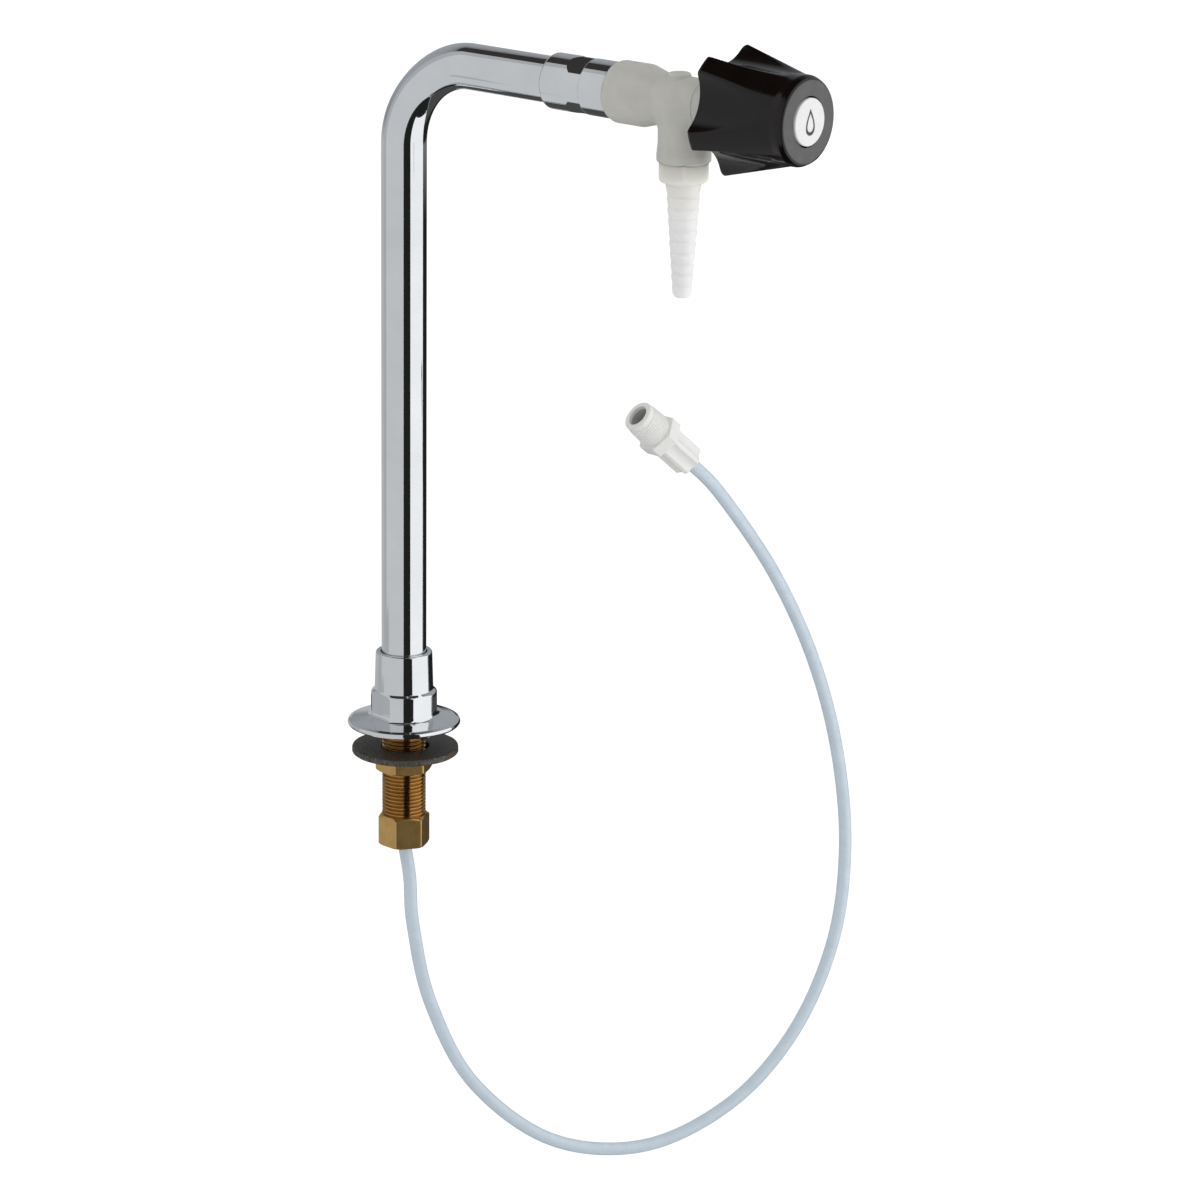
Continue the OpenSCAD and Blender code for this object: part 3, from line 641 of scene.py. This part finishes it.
def add_base():
    """Chromed base casting: round flange, round hub with two wrench flats, and a collar."""
    foot = CROWN_H + 0.2
    foot_r = HUB_R + HUB_FLARE
    fade, least_share = 3.0, 0.05
    corners = [
        (SHANK_R + FIT, 0, 0.3), (FLANGE_R - 0.9, 0, 0.8), (FLANGE_R, 1.2, 0.9),
        (FLANGE_R - 0.55, RIM_H - 0.3, 0.6), (FLANGE_R - 2.2, RIM_H + 0.4, 1.5), (HUB_R, foot, HUB_FLARE),
        (HUB_R, HUB_H - 0.9, 1.7), (COLLAR_R + 0.05, HUB_H + 0.5, 0.6), (COLLAR_TOP_R, COLLAR_H, 1.1),
        (PIPE_R + 0.5, COLLAR_H, 0.4), (PIPE_R + 0.4, COLLAR_H - 2.6, 0.2),
        (PIPE_R + FIT, COLLAR_H - 3, 0.1), (PIPE_R + FIT, PIPE_FOOT, 0), (SHANK_BORE, PIPE_FOOT, 0),
        (SHANK_BORE, SHANK_TOP, 0), (SHANK_R + FIT, SHANK_TOP, 0),
    ]
    outline = split_long(rounded(corners, steps=10), longest=0.6)

    def flats(turn, r, z):
        share = np.maximum(np.abs(np.cos(turn - math.radians(HUB_TURN))), least_share)
        inset = (HUB_R - HUB_FLAT_R) * (1 - ramp01(r, foot_r, foot_r + fade))
        distance = np.where(r > HUB_R, r - inset, HUB_FLAT_R)
        on_hub = (z > RIM_H + 0.2) & (z < HUB_H + 0.7) & (r > COLLAR_R) & (r < foot_r + fade)
        return np.where(on_hub, soft_min(r, distance / share, blend=0.4), r)

    points, faces = turned(outline, segments=400, shape=flats)
    make("base_casting", points, faces, CHROME_CAST, "tap", "deck_flange")


def add_shank():
    """Brass shank with a thread of even ridges."""
    run_out, ends = 1, 1.2
    count = int((-SHANK_FOOT - ends) / SHANK_PITCH)
    low = -run_out - count * SHANK_PITCH
    outline = rounded([
        (SHANK_BORE, SHANK_FOOT, 0.2), (SHANK_R - SHANK_DEPTH, SHANK_FOOT, 0.1),
        *ridges(low, SHANK_PITCH, count, SHANK_R, SHANK_R, SHANK_DEPTH),
        (SHANK_R - SHANK_DEPTH, -0.6, 0.2), (SHANK_R, 0, 0.1), (SHANK_R, SHANK_TOP, 0.2),
        (SHANK_BORE, SHANK_TOP, 0.2),
    ], steps=3)
    points, faces = turned(outline, segments=160)
    make("threaded_shank", points, faces, BRASS_THREAD, "tap", "shank")


def add_washer():
    """Stamped clamp washer, a little uneven at its edges."""
    centre = (WASHER_LOW + WASHER_HIGH) / 2
    low, high = WASHER_LOW.z - centre.z, WASHER_HIGH.z - centre.z
    reach = (WASHER_HIGH.x - WASHER_LOW.x) / 2
    outline = rounded([
        (WASHER_HOLE, low, 0.25), (reach, low, 0.7), (reach, high, 0.35), (WASHER_HOLE, high, 0.3),
    ], steps=4)
    outline = split_long(outline, longest=2.0)
    waves = ((0.06, 5, 0.7), (0.05, 11, 2.1), (0.03, 23, 0.0))
    band, inset = 1.5, 0.14

    def uneven(turn, r, z):
        wave = sum(size * np.sin(count * turn + start) for size, count, start in waves)
        return np.where(r > reach - band, r - inset + wave, r)

    points, faces = turned(outline, segments=160, shape=uneven)
    place = Matrix.Translation(centre)
    make("clamp_washer", points, faces, WASHER, "clamp", "deck_washer", place)


def hexagon_shape(across, corner_deg, low, high, edge=0.35):
    """Shape that cuts flats on what stands out between two heights."""
    slack = 0.01

    def cut(turn, r, z):
        flats = hexagon_reach(turn, across, corner_deg)
        return np.where((z > low - slack) & (z < high + slack), soft_min(r, flats, edge), r)

    return cut


def add_lock_nut():
    """Brass lock nut with turned chamfers."""
    corner = hexagon_corner(LOCK_NUT_AF)
    inset, chamfer = 1.3, 0.75
    outline = rounded([
        (SHANK_R + FIT, NUT_FOOT, 0.2), (corner - inset, NUT_FOOT, 0.2), (corner, NUT_FOOT + chamfer, 0.2),
        (corner, NUT_TOP - chamfer, 0.2), (corner - inset, NUT_TOP, 0.2), (SHANK_R + FIT, NUT_TOP, 0.2),
    ], steps=3)
    shape = hexagon_shape(LOCK_NUT_AF, HEX_TURN, NUT_FOOT, NUT_TOP)
    points, faces = turned(split_long(outline, longest=0.8), segments=240, shape=shape)
    make("hexagon_lock_nut", points, faces, BRASS_NUT, "clamp_nut", "lock_nut")


def add_gland():
    """Brass gland fitting: hexagon outside, spigot up in the shank, room inside for the sleeve."""
    corner = hexagon_corner(GLAND_AF)
    shoulder = SHANK_FOOT
    sleeve_r, sleeve_foot = 5.0, shoulder - 8
    outline = rounded([
        (TUBE_R + FIT, GLAND_FOOT, 0.3), (corner - 0.9, GLAND_FOOT, 0.25), (corner, GLAND_FOOT + 0.6, 0.3),
        (corner, shoulder - 1.1, 0.3), (corner - 1.9, shoulder, 0.2), (SHANK_BORE - FIT, shoulder, 0),
        (SHANK_BORE - FIT, GLAND_TOP, 0.3), (sleeve_r, GLAND_TOP, 0.3), (sleeve_r, sleeve_foot, 0),
        (TUBE_R + FIT, sleeve_foot, 0),
    ], steps=3)
    shape = hexagon_shape(GLAND_AF, HEX_TURN, GLAND_FOOT, shoulder)
    points, faces = turned(split_long(outline, longest=1.0), segments=240, shape=shape)
    make("hexagon_gland", points, faces, BRASS_NUT, "tap", "gland_fitting")


def add_coupling():
    """Chromed coupling: rounded collar, wrench flats that ramp up to it, plain barrel."""
    flats = COUPLING_X + COUPLING_RING
    barrel = flats + COUPLING_FLATS
    end = barrel + COUPLING_BARREL
    ramp = 3.2
    slope = (COUPLING_R - COUPLING_AF / 2) / ramp
    way, skin = TUBE_R + 1.6, SPIGOT_R + 2
    outline = rounded([
        (PIPE_R + FIT, COUPLING_X, 0.2), (COUPLING_R, COUPLING_X, 1.5), (COUPLING_R, end, 0.2),
        (SPIGOT_R, end, 0.2), (SPIGOT_R, end + SPIGOT_LEN, 0.3), (way, end + SPIGOT_LEN, 0.2),
        (way, PIPE_END, 0), (PIPE_R + FIT, PIPE_END, 0),
    ], steps=6)
    outline = split_long(outline, longest=0.2)

    def milled(turn, r, z):
        inside = np.minimum(z - flats, barrel - z)
        rise = slope * np.maximum(ramp - z + flats, 0)
        side = hexagon_reach(turn, COUPLING_AF, COUPLING_TURN) + rise
        return np.where((inside > 0) & (r > skin), soft_min(r, side, blend=0.12), r)

    points, faces = turned(outline, segments=256, shape=milled)
    make("chromed_coupling", points, faces, CHROME_CAST, "tap", "pipe_coupling", ON_ARM)


def outline_distance(outline):
    """Signed distance in the (r, z) plane to a closed outline, negative inside."""
    starts, ends = outline, np.roll(outline, -1, axis=0)

    def distance(r, z):
        nearest = np.full(r.shape, 1e9)
        inside = np.zeros(r.shape, bool)
        for (r0, z0), (r1, z1) in zip(starts, ends):
            dr, dz = r1 - r0, z1 - z0
            t = np.clip(((r - r0) * dr + (z - z0) * dz) / (dr * dr + dz * dz), 0, 1)
            nearest = np.minimum(nearest, (r - r0 - t * dr) ** 2 + (z - z0 - t * dz) ** 2)
            if dz:
                crosses = (z0 > z) != (z1 > z)
                inside ^= crosses & (r < r0 + (z - z0) * dr / dz)
        return np.where(inside, -1, 1) * np.sqrt(nearest)

    return distance


def join_round(a, b, radius):
    """Union of two distances with a fillet of that radius between them."""
    u, v = np.maximum(radius - a, 0), np.maximum(radius - b, 0)
    return np.maximum(radius, np.minimum(a, b)) - np.hypot(u, v)


def surface_net(field, low, high, cell):
    """Points and faces on the zero surface of a distance field, pulled onto it, with normals."""
    low, high = np.array(low, float), np.array(high, float)
    count = np.ceil((high - low) / cell).astype(int) + 1
    axes = [low[i] + cell * np.arange(count[i]) for i in range(3)]
    value = field(*np.meshgrid(*axes, indexing="ij"))
    cells = tuple(count - 1)
    total, hits = np.zeros((*cells, 3)), np.zeros(cells)
    edges = []
    for a in range(3):
        b, c = (a + 1) % 3, (a + 2) % 3
        here = np.moveaxis(value, (a, b, c), (0, 1, 2))
        first, last = here[:-1], here[1:]
        cross = (first < 0) != (last < 0)
        share = np.where(cross, first / np.where(cross, first - last, 1), 0)
        sums = np.moveaxis(total, (a, b, c), (0, 1, 2))
        tally = np.moveaxis(hits, (a, b, c), (0, 1, 2))
        grid = np.meshgrid(axes[a][:-1], axes[b], axes[c], indexing="ij")
        spot = {a: grid[0] + share * cell, b: grid[1], c: grid[2]}
        for db in (0, 1):
            for dc in (0, 1):
                part = (slice(None), slice(db, count[b] - 1 + db), slice(dc, count[c] - 1 + dc))
                tally += cross[part]
                for k in range(3):
                    sums[..., k] += np.where(cross[part], spot[k][part], 0)
        edges.append((a, b, c, cross, first))
    index = np.full(cells, -1)
    used = hits > 0
    index[used] = np.arange(used.sum())
    points = total[used] / hits[used][:, None]
    faces = []
    for a, b, c, cross, first in edges:
        at = np.argwhere(cross)
        at = at[(at[:, 1] > 0) & (at[:, 1] < count[b] - 1) & (at[:, 2] > 0) & (at[:, 2] < count[c] - 1)]
        lookup = np.moveaxis(index, (a, b, c), (0, 1, 2))
        i, j, k = at.T
        round_edge = ((j - 1, k - 1), (j, k - 1), (j, k), (j - 1, k))
        quad = np.stack([lookup[i, jj, kk] for jj, kk in round_edge], axis=1)
        outward = first[i, j, k] < 0
        faces.append(np.where(outward[:, None], quad, quad[:, ::-1]))
    points, normals = settle(field, points, cell / 2)
    return points, np.concatenate(faces), normals


def settle(field, points, reach):
    """Points pulled onto a field's zero surface, at most reach at a time, and their normals."""
    step, rounds, least_slope = 0.02, 6, 0.05
    for _ in range(rounds):
        slope = np.stack([
            (field(*(points + step * axis).T) - field(*(points - step * axis).T)) / (2 * step)
            for axis in np.eye(3)
        ], axis=1)
        size = np.maximum((slope ** 2).sum(1), least_slope)
        move = slope * (field(*points.T) / size)[:, None]
        points = points - np.clip(move, -reach, reach)
    return points, slope / np.maximum(np.linalg.norm(slope, axis=1, keepdims=True), 1e-9)


def add_valve_body():
    """Moulded valve body: boss, taper and chamber, outlet boss with a fillet, round pad."""
    past_axis, lip = -1, -OUTLET_DROP
    main = outline_distance(rounded([
        (past_axis, 0, 0), (COUPLING_R + 0.2, 0, 0.2), (BOSS_R, 2.3, 2.6), (BOSS_R, BOSS_LEN - 0.4, 2.2),
        (CHAMBER_R, BOSS_LEN + TAPER_LEN, 6.0), (CHAMBER_R, BODY_LEN, 0.35), (past_axis, BODY_LEN, 0),
    ]))
    outlet = outline_distance(rounded([
        (past_axis, lip, 0), (OUTLET_R - 0.3, lip, 0.1), (OUTLET_R + 0.3, lip + 0.7, 0.4),
        (OUTLET_R + 0.3, lip + 3.6, 3.0), (OUTLET_R - 0.2, lip + 8, 6.0), (OUTLET_R - 0.2, 0, 0),
        (past_axis, 0, 0),
    ]))
    pad = outline_distance(rounded([
        (past_axis, 0, 0), (PAD_R, 0, 0), (PAD_R, CHAMBER_R + PAD_H, 0.8),
        (past_axis, CHAMBER_R + PAD_H, 0),
    ]))
    outlet_x = OUTLET_X - BODY_X
    seal_room, seat_x, way_r = 1.6, BOSS_LEN + 5.5, 2.4

    def field(x, y, z):
        reach = np.hypot(y, z)
        down = np.hypot(x - outlet_x, y)
        up = np.hypot(x - outlet_x + PAD_BACK, y)
        solid = join_round(main(reach, x), outlet(down, z), radius=3.2)
        solid = join_round(solid, pad(up, z), radius=0.9)
        holes = [
            np.maximum(reach - SPIGOT_R - FIT, x - SPIGOT_LEN - seal_room),
            np.maximum(reach - CHAMBER_BORE, seat_x - x),
            np.maximum(down - SOCKET_R, z + OUTLET_DROP - SOCKET_DEPTH),
            np.maximum(down - OUTLET_BORE, z),
            reach - way_r,
        ]
        for hole in holes:
            solid = np.maximum(solid, -hole)
        return solid

    margin = 0.8
    low = (-margin, -BOSS_R - margin, lip - margin)
    high = (BODY_LEN + margin, BOSS_R + margin, BOSS_R + margin)
    points, faces, normals = surface_net(field, low, high, cell=0.55)
    place = Matrix.Translation((BODY_X, 0, ARM_Z))
    make(
        "moulded_valve_body", points, faces, NATURAL, "tap", "valve_body", place, normals
    )


def add_bonnet():
    """Bonnet that closes the chamber, with a neck round the stem."""
    start = BODY_X + BODY_LEN
    end = start + BONNET_LEN
    hole, neck = STEM_R + FIT, STEM_R + 2.8
    outline = rounded([
        (hole, start - BONNET_SPIGOT, 0.2), (CHAMBER_BORE - FIT, start - BONNET_SPIGOT, 0.4),
        (CHAMBER_BORE - FIT, start, 0), (CHAMBER_R, start, 0.4), (CHAMBER_R, end, 0.9), (neck, end, 0.4),
        (neck, end + BONNET_NECK, 0.4), (hole, end + BONNET_NECK, 0.2),
    ], steps=4)
    points, faces = turned(outline, segments=128)
    make("moulded_bonnet", points, faces, NATURAL, "tap", "bonnet", ON_ARM)


def add_nozzle():
    """Hose nozzle: hexagon collar with a rounded foot, soft barbs, tapering bore."""
    top = ARM_Z - OUTLET_DROP
    low = top - NOZZLE_COLLAR
    rim = top + 0.1
    corner = hexagon_corner(NOZZLE_AF)
    step = (BARB_R - TIP_R) / (BARB_COUNT - 1)
    first = low - 7.6
    neck = BARB_R + 0.75
    sunk = 0.3
    tip_bore, top_bore = 2.0, 4.0
    spigot_r, spigot_top = 8.0, top + SOCKET_DEPTH - 1.5
    corners = [
        (tip_bore, NOZZLE_TIP, 0.3), (TIP_R - 1.5, NOZZLE_TIP, 0.8), (TIP_R - 0.4, NOZZLE_TIP + 1.7, 1.2),
    ]
    for i in range(BARB_COUNT - 1, -1, -1):
        crest = BARB_R - step * i
        at = first - BARB_PITCH * i
        if i < BARB_COUNT - 1:
            corners.append((crest - step - sunk, at - BARB_PITCH + 1.35, 0.7))
        corners += [(crest - 0.04, at - 0.6, 0.5), (crest, at + 0.3, 0.3), (crest - sunk, at + 1.2, 0.5)]
    corners += [
        (neck, low - 1.0, 0.5), (neck + 0.7, low - 0.35, 0.3), (NOZZLE_AF / 2 - 1.0, low, 0.8),
        (corner, low + 2.2, 1.9), (corner, rim, 0.15), (spigot_r, rim, 0), (spigot_r, spigot_top, 0.4),
        (top_bore, spigot_top, 0.3),
    ]
    outline = split_long(rounded(corners, steps=4), longest=1.0)
    shape = hexagon_shape(NOZZLE_AF, NOZZLE_TURN, low, top + 0.2, edge=0.6)
    points, faces = turned(outline, segments=192, shape=shape)
    place = Matrix.Translation((OUTLET_X, 0, 0))
    # The nozzle's material carries painted light, brighter towards the tip
    make("serrated_nozzle", points, faces, NOZZLE_PAINTED_LIGHT, "tap", "nozzle", place)


def add_knob():
    """Black five-lobed knob with a satin face ring, hollow at the rear."""
    length = KNOB_END - KNOB_X
    face = KNOB_FRONT_R - 2.6
    inner = KNOB_FRONT_R - 3.8
    run_out = LOBE_LEN + 2.6
    web = length - 15.3
    hub, hub_r = 11.0, 7.5
    seat = length - BUTTON_T + BUTTON_END - KNOB_END
    rim, well = BUTTON_R + 0.7, BUTTON_R + 0.6
    head_r, screw_r, head_seat = 4.4, 2.2, web + 4
    corners = [
        (inner, 0, 0.6), (KNOB_R, 0, 2.0), (KNOB_FRONT_R, run_out, 5.0),
        (KNOB_FRONT_R, length - 2.9, 2.6), (face + 1.4, length - 0.5, 0.9), (face, length, 0.3),
        (rim, length, 0.25), (well, length - 1.3, 0.1), (well, seat, 0), (head_r, seat, 0),
        (head_r, head_seat, 0), (screw_r, head_seat, 0), (screw_r, web, 0), (STEM_R + FIT, web, 0),
        (STEM_R + FIT, hub, 0.3), (hub_r, hub, 0.4), (hub_r, web, 0.5), (inner, web, 0.8),
    ]
    outline = split_long(rounded(corners, steps=7), longest=0.9)
    hollow_turn = LOBE_TURN + 180 / LOBE_COUNT

    def lobes(turn, r, z):
        hollow = scallop_reach(turn, LOBE_COUNT, hollow_turn, KNOB_FRONT_R + HOLLOW_R, HOLLOW_R)
        outer = (r > inner + 0.7) & (z < run_out + 2)
        least = np.minimum(r, KNOB_FRONT_R - 0.02)
        return np.where(outer, np.maximum(soft_min(r, hollow, blend=1.7), least), r)

    points, faces = turned(outline, segments=480, shape=lobes)
    place = ON_ARM @ Matrix.Translation((0, 0, KNOB_X))
    piece = make("lobed_knob", points, faces, BLACK, "handle", "knob", place)
    paint_faces(piece, points, faces, FACE, lambda r, z: (z > length - 0.15) & (r > BUTTON_R + 0.72))


def add_button():
    """White index button, slightly domed, with a plain water-drop mark."""
    front = BUTTON_END + 0.4
    back = BUTTON_END - BUTTON_T
    axis, dome = 0.02, 0.15
    outline = rounded([
        (axis, back, 0), (BUTTON_R, back, 0.2), (BUTTON_R, front - dome, 0.5), (axis, front, 0),
    ], steps=6)
    points, faces = turned(split_long(outline, longest=1.5), segments=128)
    make("index_cap", points, faces, WHITE, "handle", "index_button", ON_ARM)
    add_drop_mark(front)


def add_drop_mark(front):
    """Generic drop outline printed on the button, point up."""
    count = 96
    half_width, half_height, inner, shift = 4.3, 5.9, 0.74, 0.3
    raised, sunk = 0.1, -0.3
    turn = np.linspace(0, 2 * math.pi, count, endpoint=False)
    rows = []
    for share, depth in ((1.0, sunk), (1.0, raised), (inner, raised), (inner, sunk)):
        width = half_width * share * np.sin(turn) * np.sin(turn / 2) ** 1.35
        height = half_height * share * np.cos(turn) - shift * (1 - share)
        rows.append(np.stack([-height, width, np.full(count, front + depth)], axis=1))
    points = np.concatenate(rows)
    faces = grid_faces(len(rows), count)[:, ::-1]
    make("drop_mark", points, faces, INK, "handle", place=ON_ARM)


def add_connector_body():
    """Connector: stub, hexagon and ridged taper thread, with a plain lip and an open bore."""
    top = CONN_NUT + 0.3
    hex_top = top + CONN_HEX
    far = hex_top + CONN_THREAD
    taper = CONN_THREAD * CONN_TAPER
    plain, lead = 3.4, 1.3
    corner = hexagon_corner(CONN_AF)
    count = int((CONN_THREAD - plain) / CONN_PITCH)
    start = hex_top + lead
    groove = start + count * CONN_PITCH
    lip = CONN_R - taper - 0.3
    foot, way_r, bore_floor = 9, 2.2, hex_top + 2
    outline = rounded([
        (way_r, foot, 0.2), (CONN_STUB_R, foot, 0.4), (CONN_STUB_R, top, 0), (corner, top, 0.25),
        (corner, hex_top, 0.25), (CONN_R - 0.5, hex_top, 0.5),
        *ridges(start, CONN_PITCH, count, CONN_R, CONN_R - taper, CONN_DEPTH),
        (lip - 0.4, groove + 0.35, 0.2), (lip, groove + 0.75, 0.3), (lip - 0.15, far, 0.9),
        (CONN_BORE, far, 0.5), (CONN_BORE - 0.2, bore_floor, 0.3), (way_r, bore_floor, 0),
    ], steps=4)
    outline = split_long(outline, longest=0.8)
    shape = hexagon_shape(CONN_AF, CONN_HEX_TURN, top, hex_top, edge=0.2)
    points, faces = turned(outline, segments=192, shape=shape)
    piece = make(
        "connector_male_end", points, faces, CONNECTOR, "tap", "connector_body",
        ON_CONNECTOR,
    )
    # Painted shade: the bore's inside takes the darker copy of the plastic
    paint_faces(piece, points, faces, BORE, lambda r, z: (r < CONN_BORE + 0.02) & (z < far - 2.0))
    return piece


def add_connector_nut():
    """Fluted nut that holds the tube on the connector's stub."""
    flute_r = 5.5
    flute_at = CONN_NUT_R - 1.5 + flute_r
    rim, seat = CONN_NUT - 0.5, 4
    outline = rounded([
        (TUBE_R + FIT, 0, 0.3), (CONN_NUT_R, 0, 0.5), (CONN_NUT_R, rim, 0.3), (CONN_STUB_R + FIT, rim, 0.2),
        (CONN_STUB_R + FIT, seat, 0), (TUBE_R + FIT, seat, 0),
    ], steps=4)

    def fluted(turn, r, z):
        scoop = scallop_reach(turn, CONN_FLUTES, CONN_FLUTE_TURN, flute_at, flute_r)
        return np.where(r > CONN_STUB_R + 0.3, soft_min(r, scoop, blend=0.2), r)

    points, faces = turned(split_long(outline, longest=1.0), segments=240, shape=fluted)
    return make(
        "connector_fluted_nut", points, faces, CONNECTOR, "tap", "connector_nut",
        ON_CONNECTOR,
    )


def dress_inner_nodes():
    """Materials for the CAD pieces that stay as they are."""
    paints = {
        "gland_sleeve": NATURAL, "riser_tube": TUBE, "coupling_seal": RUBBER, "bonnet_ring": RUBBER,
        "stem": NATURAL, "stem_ring": RUBBER, "plunger": NATURAL, "seat_washer": RUBBER,
        "nozzle_ring": RUBBER, "knob_screw": STEEL, "connector_ferrule": CONNECTOR,
    }
    for node, paint in paints.items():
        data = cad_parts[node].data
        data.materials.clear()
        data.materials.append(paint)


# Studio


def background_strength(tree, shown, lit):
    """Strength that is one value for camera, mirror and glass rays and another for soft light."""
    path = tree.nodes.new("ShaderNodeLightPath")
    seen = path.outputs["Is Camera Ray"]
    for name in ("Is Glossy Ray", "Is Transmission Ray"):
        add = tree.nodes.new("ShaderNodeMath")
        add.operation = "MAXIMUM"
        tree.links.new(seen, add.inputs[0])
        tree.links.new(path.outputs[name], add.inputs[1])
        seen = add.outputs[0]
    node = tree.nodes.new("ShaderNodeMapRange")
    node.inputs["To Min"].default_value = lit
    node.inputs["To Max"].default_value = shown
    tree.links.new(seen, node.inputs["Value"])
    return node.outputs["Result"]


def add_world():
    """White world: full strength where it is seen or mirrored, softer as light."""
    world = bpy.data.worlds.new("studio")
    bpy.context.scene.world = world
    world.use_nodes = True
    back = world.node_tree.nodes["Background"]
    back.inputs["Color"].default_value = (1, 1, 1, 1)
    strength = background_strength(world.node_tree, shown=1.0, lit=0.8)
    world.node_tree.links.new(strength, back.inputs["Strength"])


def add_floor():
    """Pale floor below the hanging tube, white to the camera where no shadow falls."""
    size, level = 30.0, cad_box[0].z - FLOOR_GAP
    p = Paint("floor").set(
        Base_Color=(0.9, 0.9, 0.9, 1), Roughness=0.9, Specular_IOR_Level=0.1, Emission_Color=(1, 1, 1, 1)
    )
    glow = background_strength(p.material.node_tree, shown=0.35, lit=0.0)
    p.links.new(glow, p.shader.inputs["Emission Strength"])
    corners = ((-size, -size), (size, -size), (size, size), (-size, size))
    mesh = bpy.data.meshes.new("floor")
    mesh.from_pydata([(x, y, level) for x, y in corners], [], [(0, 1, 2, 3)])
    mesh.materials.append(p.material)
    floor = bpy.data.objects.new("floor", mesh)
    bpy.context.scene.collection.objects.link(floor)


def add_light(name, azimuth, elevation, distance, size, power):
    """Soft box that faces the tap from a direction."""
    back = outward(azimuth, elevation)
    data = bpy.data.lights.new(name, "AREA")
    data.shape = "RECTANGLE"
    data.size, data.size_y = size
    data.energy = power
    light = bpy.data.objects.new(name, data)
    light.location = Vector(LIGHT_AIM) + back * distance
    light.rotation_mode = "QUATERNION"
    light.rotation_quaternion = back.to_track_quat("Z", "Y")
    light.visible_glossy = False
    bpy.context.scene.collection.objects.link(light)


def around(angle, reach, level):
    """A point round the riser at an angle from the camera, to its right if positive."""
    a = math.radians(CAMERA_AZIMUTH + angle)
    return reach * math.sin(a), -reach * math.cos(a), level


def add_strip(name, start, end, edges, shades):
    """Studio card that shows only in reflections: a strip between two (reach, level) edges."""
    steps = max(2, int(abs(end - start) / CARD_STEP_DEG))
    angles = [start + (end - start) * k / steps for k in range(steps + 1)]
    points = [around(a, reach, level) for a in angles for reach, level in edges]
    faces = [(2 * k, 2 * k + 2, 2 * k + 3, 2 * k + 1) for k in range(steps)]
    add_reflected(name, points, faces, shades)


def add_card(name, start, end, low, high, shades):
    """Upright curved card; shades run up it."""
    add_strip(name, start, end, ((CARD_REACH, low), (CARD_REACH, high)), shades)


def add_fan(name, start, end, inner, outer, level, shade):
    """Level card, part of a ring."""
    add_strip(name, start, end, ((inner, level), (outer, level)), [(level, shade)])


def add_reflected(name, points, faces, shades):
    """Stage mesh with a glow that follows (height, colour) shades, seen by mirror rays alone."""
    p = Paint(name).set(
        Base_Color=(0, 0, 0, 1), Specular_IOR_Level=0,
        Emission_Color=(*shades[0][1], 1), Emission_Strength=1,
    )
    if len(shades) > 1:
        low, high = shades[0][0], shades[-1][0]
        stops = [((z - low) / (high - low), shade) for z, shade in shades]
        p.links.new(p.ramp(p.height(low, high), stops), p.shader.inputs["Emission Color"])
    mesh = bpy.data.meshes.new(name)
    mesh.from_pydata(points, [], faces)
    mesh.materials.append(p.material)
    card = bpy.data.objects.new(name, mesh)
    for ray in ("camera", "diffuse", "transmission", "volume_scatter", "shadow"):
        setattr(card, "visible_" + ray, False)
    bpy.context.scene.collection.objects.link(card)


def add_cards():
    """Studio as the chrome shows it: grey left, dark by the camera, white right, dim rear and top."""
    grey, white = (0.605, 0.62, 0.63), (1.02, 1.03, 1.04)
    dim, dusk = (0.445, 0.46, 0.475), (0.07, 0.07, 0.07)
    dark, black = (0.016, 0.016, 0.016), (0.038, 0.036, 0.033)
    low, top = -0.6, 1.65
    left_step, rear_edge = -0.2, 1.23
    back_left, left, front_left, camera, front_right, back_right = -121, -99, -82, 0, 35, 113
    near, side, far, over = 0.4, 0.72, CARD_REACH, 0.86
    floor = cad_box[0].z - CARD_GAP
    rear = [
        (0.12, (0.50, 0.51, 0.52)), (0.22, (0.27, 0.29, 0.31)), (0.45, (0.36, 0.38, 0.41)),
        (0.8, (0.34, 0.355, 0.375)), (1.08, (0.27, 0.275, 0.285)), (rear_edge, (0.15, 0.152, 0.155)),
    ]
    rear_right = [(0.06, dark), (0.16, (0.36, 0.375, 0.39)), *rear[2:]]
    add_card("card_left", back_left, left, low, top, [(0, dim)])
    add_card("card_left_low", left, front_left, low, left_step, [(0, dim)])
    add_card("card_left_high", left, front_left, left_step, top, [(0, grey)])
    add_card("card_front_left", front_left, camera, low, top, [(0, grey)])
    add_card("card_rear_left", -180, back_left, low, rear_edge, rear)
    add_card("card_rear_top", -180, back_left, rear_edge, top, [(0, black)])
    add_card("card_camera", camera, front_right, low, top, [(0, dark)])
    add_card("card_right", front_right, back_right, low, top, [(0, white)])
    add_card("card_rear_right", back_right, 180, low, top, rear_right)
    add_fan("card_above", -180, 180, 0, over, top, black)
    add_fan("card_floor_left", front_left, camera, 0, far, floor, grey)
    add_fan("card_floor_side", back_left, front_left, 0, side, floor, grey)
    add_fan("card_floor_side_far", back_left, front_left, side, far, floor, dim)
    add_fan("card_floor_rear_left", -180, back_left, 0, far, floor, dusk)
    add_fan("card_floor_camera", camera, front_right, 0, far, floor, dark)
    add_fan("card_floor_right", front_right, back_right, near, far, floor, white)
    add_fan("card_floor_right_near", front_right, back_right, 0, near, floor, dark)
    add_fan("card_floor_rear_right", back_right, 180, 0, far, floor, dusk)


add_camera()
tube = add_tube()
add_pipe()
add_base()
add_shank()
add_washer()
add_lock_nut()
add_gland()
add_coupling()
add_valve_body()
add_bonnet()
add_nozzle()
add_knob()
add_button()
connector = [add_connector_body(), add_connector_nut()]
dress_inner_nodes()
add_world()
add_floor()
add_cards()
add_light("key", azimuth=112, elevation=3, distance=1.7, size=(1.5, 0.9), power=8)

bpy.context.scene.view_settings.view_transform = "Standard"
